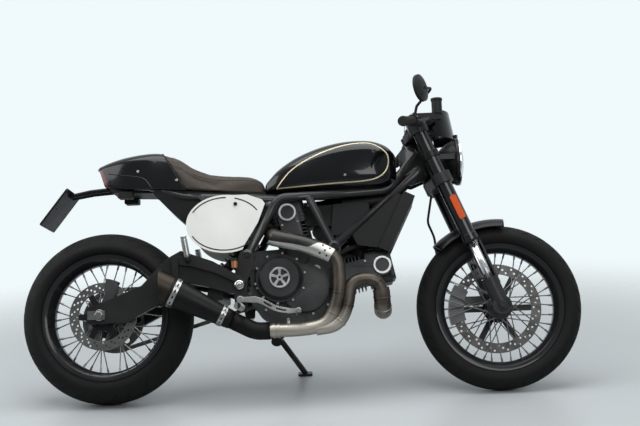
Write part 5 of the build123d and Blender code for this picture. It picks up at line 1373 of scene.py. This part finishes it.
bm = bmesh.new()
pierced_plate(bm, [(20, 796), (260, 784), (260, 742), (215, 748), (180, 771), (30, 778)], [], -64, 64)
piece("undertray", bm, plastic_black, "chassis")
INDICATOR = Vector((79, 62, 766))
indicator_lens = finish("indicator_lens", (0.6, 0.14, 0.01), 0.16, coat=0.8, tone=0.15, blotch=60)
lenses = [
    (INDICATOR - FORWARD * 27.5 - LEFT * (INDICATOR.y - side * INDICATOR.y), FORWARD, LEFT, (30, 16, 2.5))
    for side in (1, -1)
]
set_out("indicator_lenses", lenses, block, indicator_lens, "chassis")

# Oil cooler and electrics box: an alloy core of thin blades between tanks, and a moulded box behind it.
# Both keep their solids; the blades are set out.
# Rubber hoses, ducts and a plastic intake box run from them to the engine.
cooler_black = finish("cooler_black", (0.014, 0.014, 0.0145), 0.46, metal=0.2, tone=0.3, grain=420, bump=0.1)
blade_grey = finish("blade_grey", (0.06, 0.06, 0.062), 0.4, metal=0.8, tone=0.3, blotch=40)
box_grey = finish("box_grey", (0.015, 0.0155, 0.016), 0.5, tone=0.25, grain=800, bump=0.15)
dress("oil_cooler", cooler_black, bevel=2.0)
dress("electrics_box", box_grey, bevel=3.0)
COOLER_TILT = radians(26.7)
cooler_front = Vector((cos(COOLER_TILT), 0, -sin(COOLER_TILT)))
cooler_up = Vector((sin(COOLER_TILT), 0, cos(COOLER_TILT)))
core = Vector((1083, 0, 634)) + cooler_front * 20
blades = [(core + LEFT * (-98 + 196 * k / 56), cooler_up, cooler_front, (3.0, 0.8, 172)) for k in range(57)]
blades += [(core + cooler_up * (-84 + 168 * k / 14), cooler_up, cooler_front, (5.0, 200, 3)) for k in range(15)]
set_out("cooler_blades", blades, block, blade_grey, "chassis")
HOSE = ((720, 440), (800, 470), (880, 524), (950, 548), (1030, 562), (1066, 600), (1080, 640))
bm = bmesh.new()
for side in (1, -1):
    route = [Vector((x, side * 62, z)) for x, z in HOSE]
    tube_along(bm, [along_path(route, k / 8) for k in range(33)], 9, sides=16)
tube_along(bm, [Vector((948 - 4 * k, 0, 500 + 10.5 * k)) for k in range(11)], 28, sides=32)
for side in (1, -1):
    tube_along(bm, [Vector((880 + 19 * k, side * 40, 700 + 1.6 * k)) for k in range(11)], 20, sides=20)
piece("oil_hoses", bm, hose_rubber, "chassis", crease=50)
bm = bmesh.new()
pierced_plate(bm, [(764, 604), (802, 545), (850, 556), (850, 640), (782, 640)], [], -44, 44)
pierced_plate(bm, [(862, 470), (950, 488), (950, 520), (862, 520)], [], -8, 8)
piece("intake_box", bm, box_grey, "chassis")

# Footrests and pedals: black plates with bare alloy pegs, ribbed for grip, and alloy levers.
# The plates keep their solids; the levers are cut from flat outlines with slots, the pegs are turned.
peg_alloy = brushed("peg_alloy", (0.36, 0.36, 0.35), 0.34, (60, 60, 60))
dress("footrests", arm_black, bevel=1.2)
PEDAL = [
    (496, 360), (560, 361), (587, 353), (605, 342), (625, 330), (650, 321), (680, 315), (714, 312),
    (714, 299), (680, 297), (650, 301), (625, 309), (605, 319), (587, 330), (565, 340), (496, 344),
]
PEDAL_SLOTS = [
    [(590, 344), (608, 333), (618, 326), (616, 319), (604, 326), (588, 337)],
    [(632, 320), (655, 312.5), (668, 310.5), (667, 304), (653, 306), (632, 312)],
]
SHIFTER = [(496, 361), (560, 357), (640, 343), (690, 339), (690, 325), (640, 325), (560, 337), (496, 343)]
SHIFTER_SLOTS = [
    [(535, 354), (575, 349), (575, 341), (535, 346)], [(592, 346), (634, 339), (634, 331), (592, 338)],
]
bm = bmesh.new()
pierced_plate(bm, PEDAL, PEDAL_SLOTS, -182, -169)
pierced_plate(bm, SHIFTER, SHIFTER_SLOTS, 169, 182)
for start, end, size in (
    ((714, -165, 305), (714, -215, 305), 9), ((690, 172, 332), (690, 222, 332), 9),
    ((507, -157, 352), (507, -186, 352), 13), ((507, 157, 352), (507, 186, 352), 13),
):
    start, end = Vector(start), Vector(end)
    long = (end - start).length
    pin = [(0, 0), (size - 1, 0), (size, 1), (size, long - 1.5), (size - 1.5, long), (0, long)]
    spin(bm, pin, start, end - start, 32, closed=False)
levers = piece("foot_levers", bm, peg_alloy, "chassis", ["foot_controls"], crease=30)
break_edges(levers, 1.2, angle=30, harden=False)
bm = bmesh.new()
for side in (1, -1):
    start, end = Vector((509.5, side * 176, 324)), Vector((505, side * 262, 324))
    long = (end - start).length
    ribs = [(0, 0), (11.4, 0)]
    for k in range(13):
        ribs += [(13.4, 2 + k * 6.2), (13.4, 5 + k * 6.2), (11.6, 6 + k * 6.2), (11.6, 7.4 + k * 6.2)]
    ribs += [(13.4, long - 2), (12.6, long), (0, long)]
    spin(bm, ribs, start, end - start, 32, closed=False)
    low, high = Vector((320, side * 175.3, 512)), Vector((308, side * 178, 586))
    long = (high - low).length
    ribs = [(0, -1), (9.4, -1)]
    for k in range(9):
        ribs += [(11.6, 4 + k * 7), (11.6, 8 + k * 7), (9.8, 9 + k * 7), (9.8, 10.5 + k * 7)]
    ribs += [(11.6, long - 1), (10.6, long + 1), (0, long + 1)]
    spin(bm, ribs, low, high - low, 32, closed=False)
piece("ribbed_pegs", bm, peg_alloy, "chassis", crease=30)

# Rear caliper, side stand and its bracket: a small cast caliper and a bent steel leg with a flat foot.
# They keep their solids with rounded edges; the brake's fluid cup is turned plastic on the footrest plate.
dress("rear_caliper", caliper_grey, bevel=1.5)
dress("side_stand", arm_black, bevel=1.5)
dress("stand_bracket", arm_black, bevel=1.5)
fluid_amber = finish("fluid_amber", (0.3, 0.1, 0.03), 0.3, coat=0.4, tone=0.25, blotch=40)
CUP_FOOT, CUP_TALL = Vector((488, -166.5, 466)), 26
bm = bmesh.new()
spin(bm, [(0, 0), (9, 0), (11, 2), (11, CUP_TALL), (0, CUP_TALL)], CUP_FOOT, UP, 32, closed=False)
piece("fluid_cup", bm, fluid_amber, "chassis")
bm = bmesh.new()
cup_lid = [(0, 0), (12.5, 0), (12.5, 8), (11, 9.5), (0, 9.5)]
spin(bm, cup_lid, CUP_FOOT + UP * CUP_TALL, UP, 32, closed=False)
piece("fluid_cup_lid", bm, plastic_black, "chassis")

# The unit shapes have done their work and are taken away.
for spare in (rod, socket_head, hex_head, link_plate, block):
    bpy.data.objects.remove(spare)
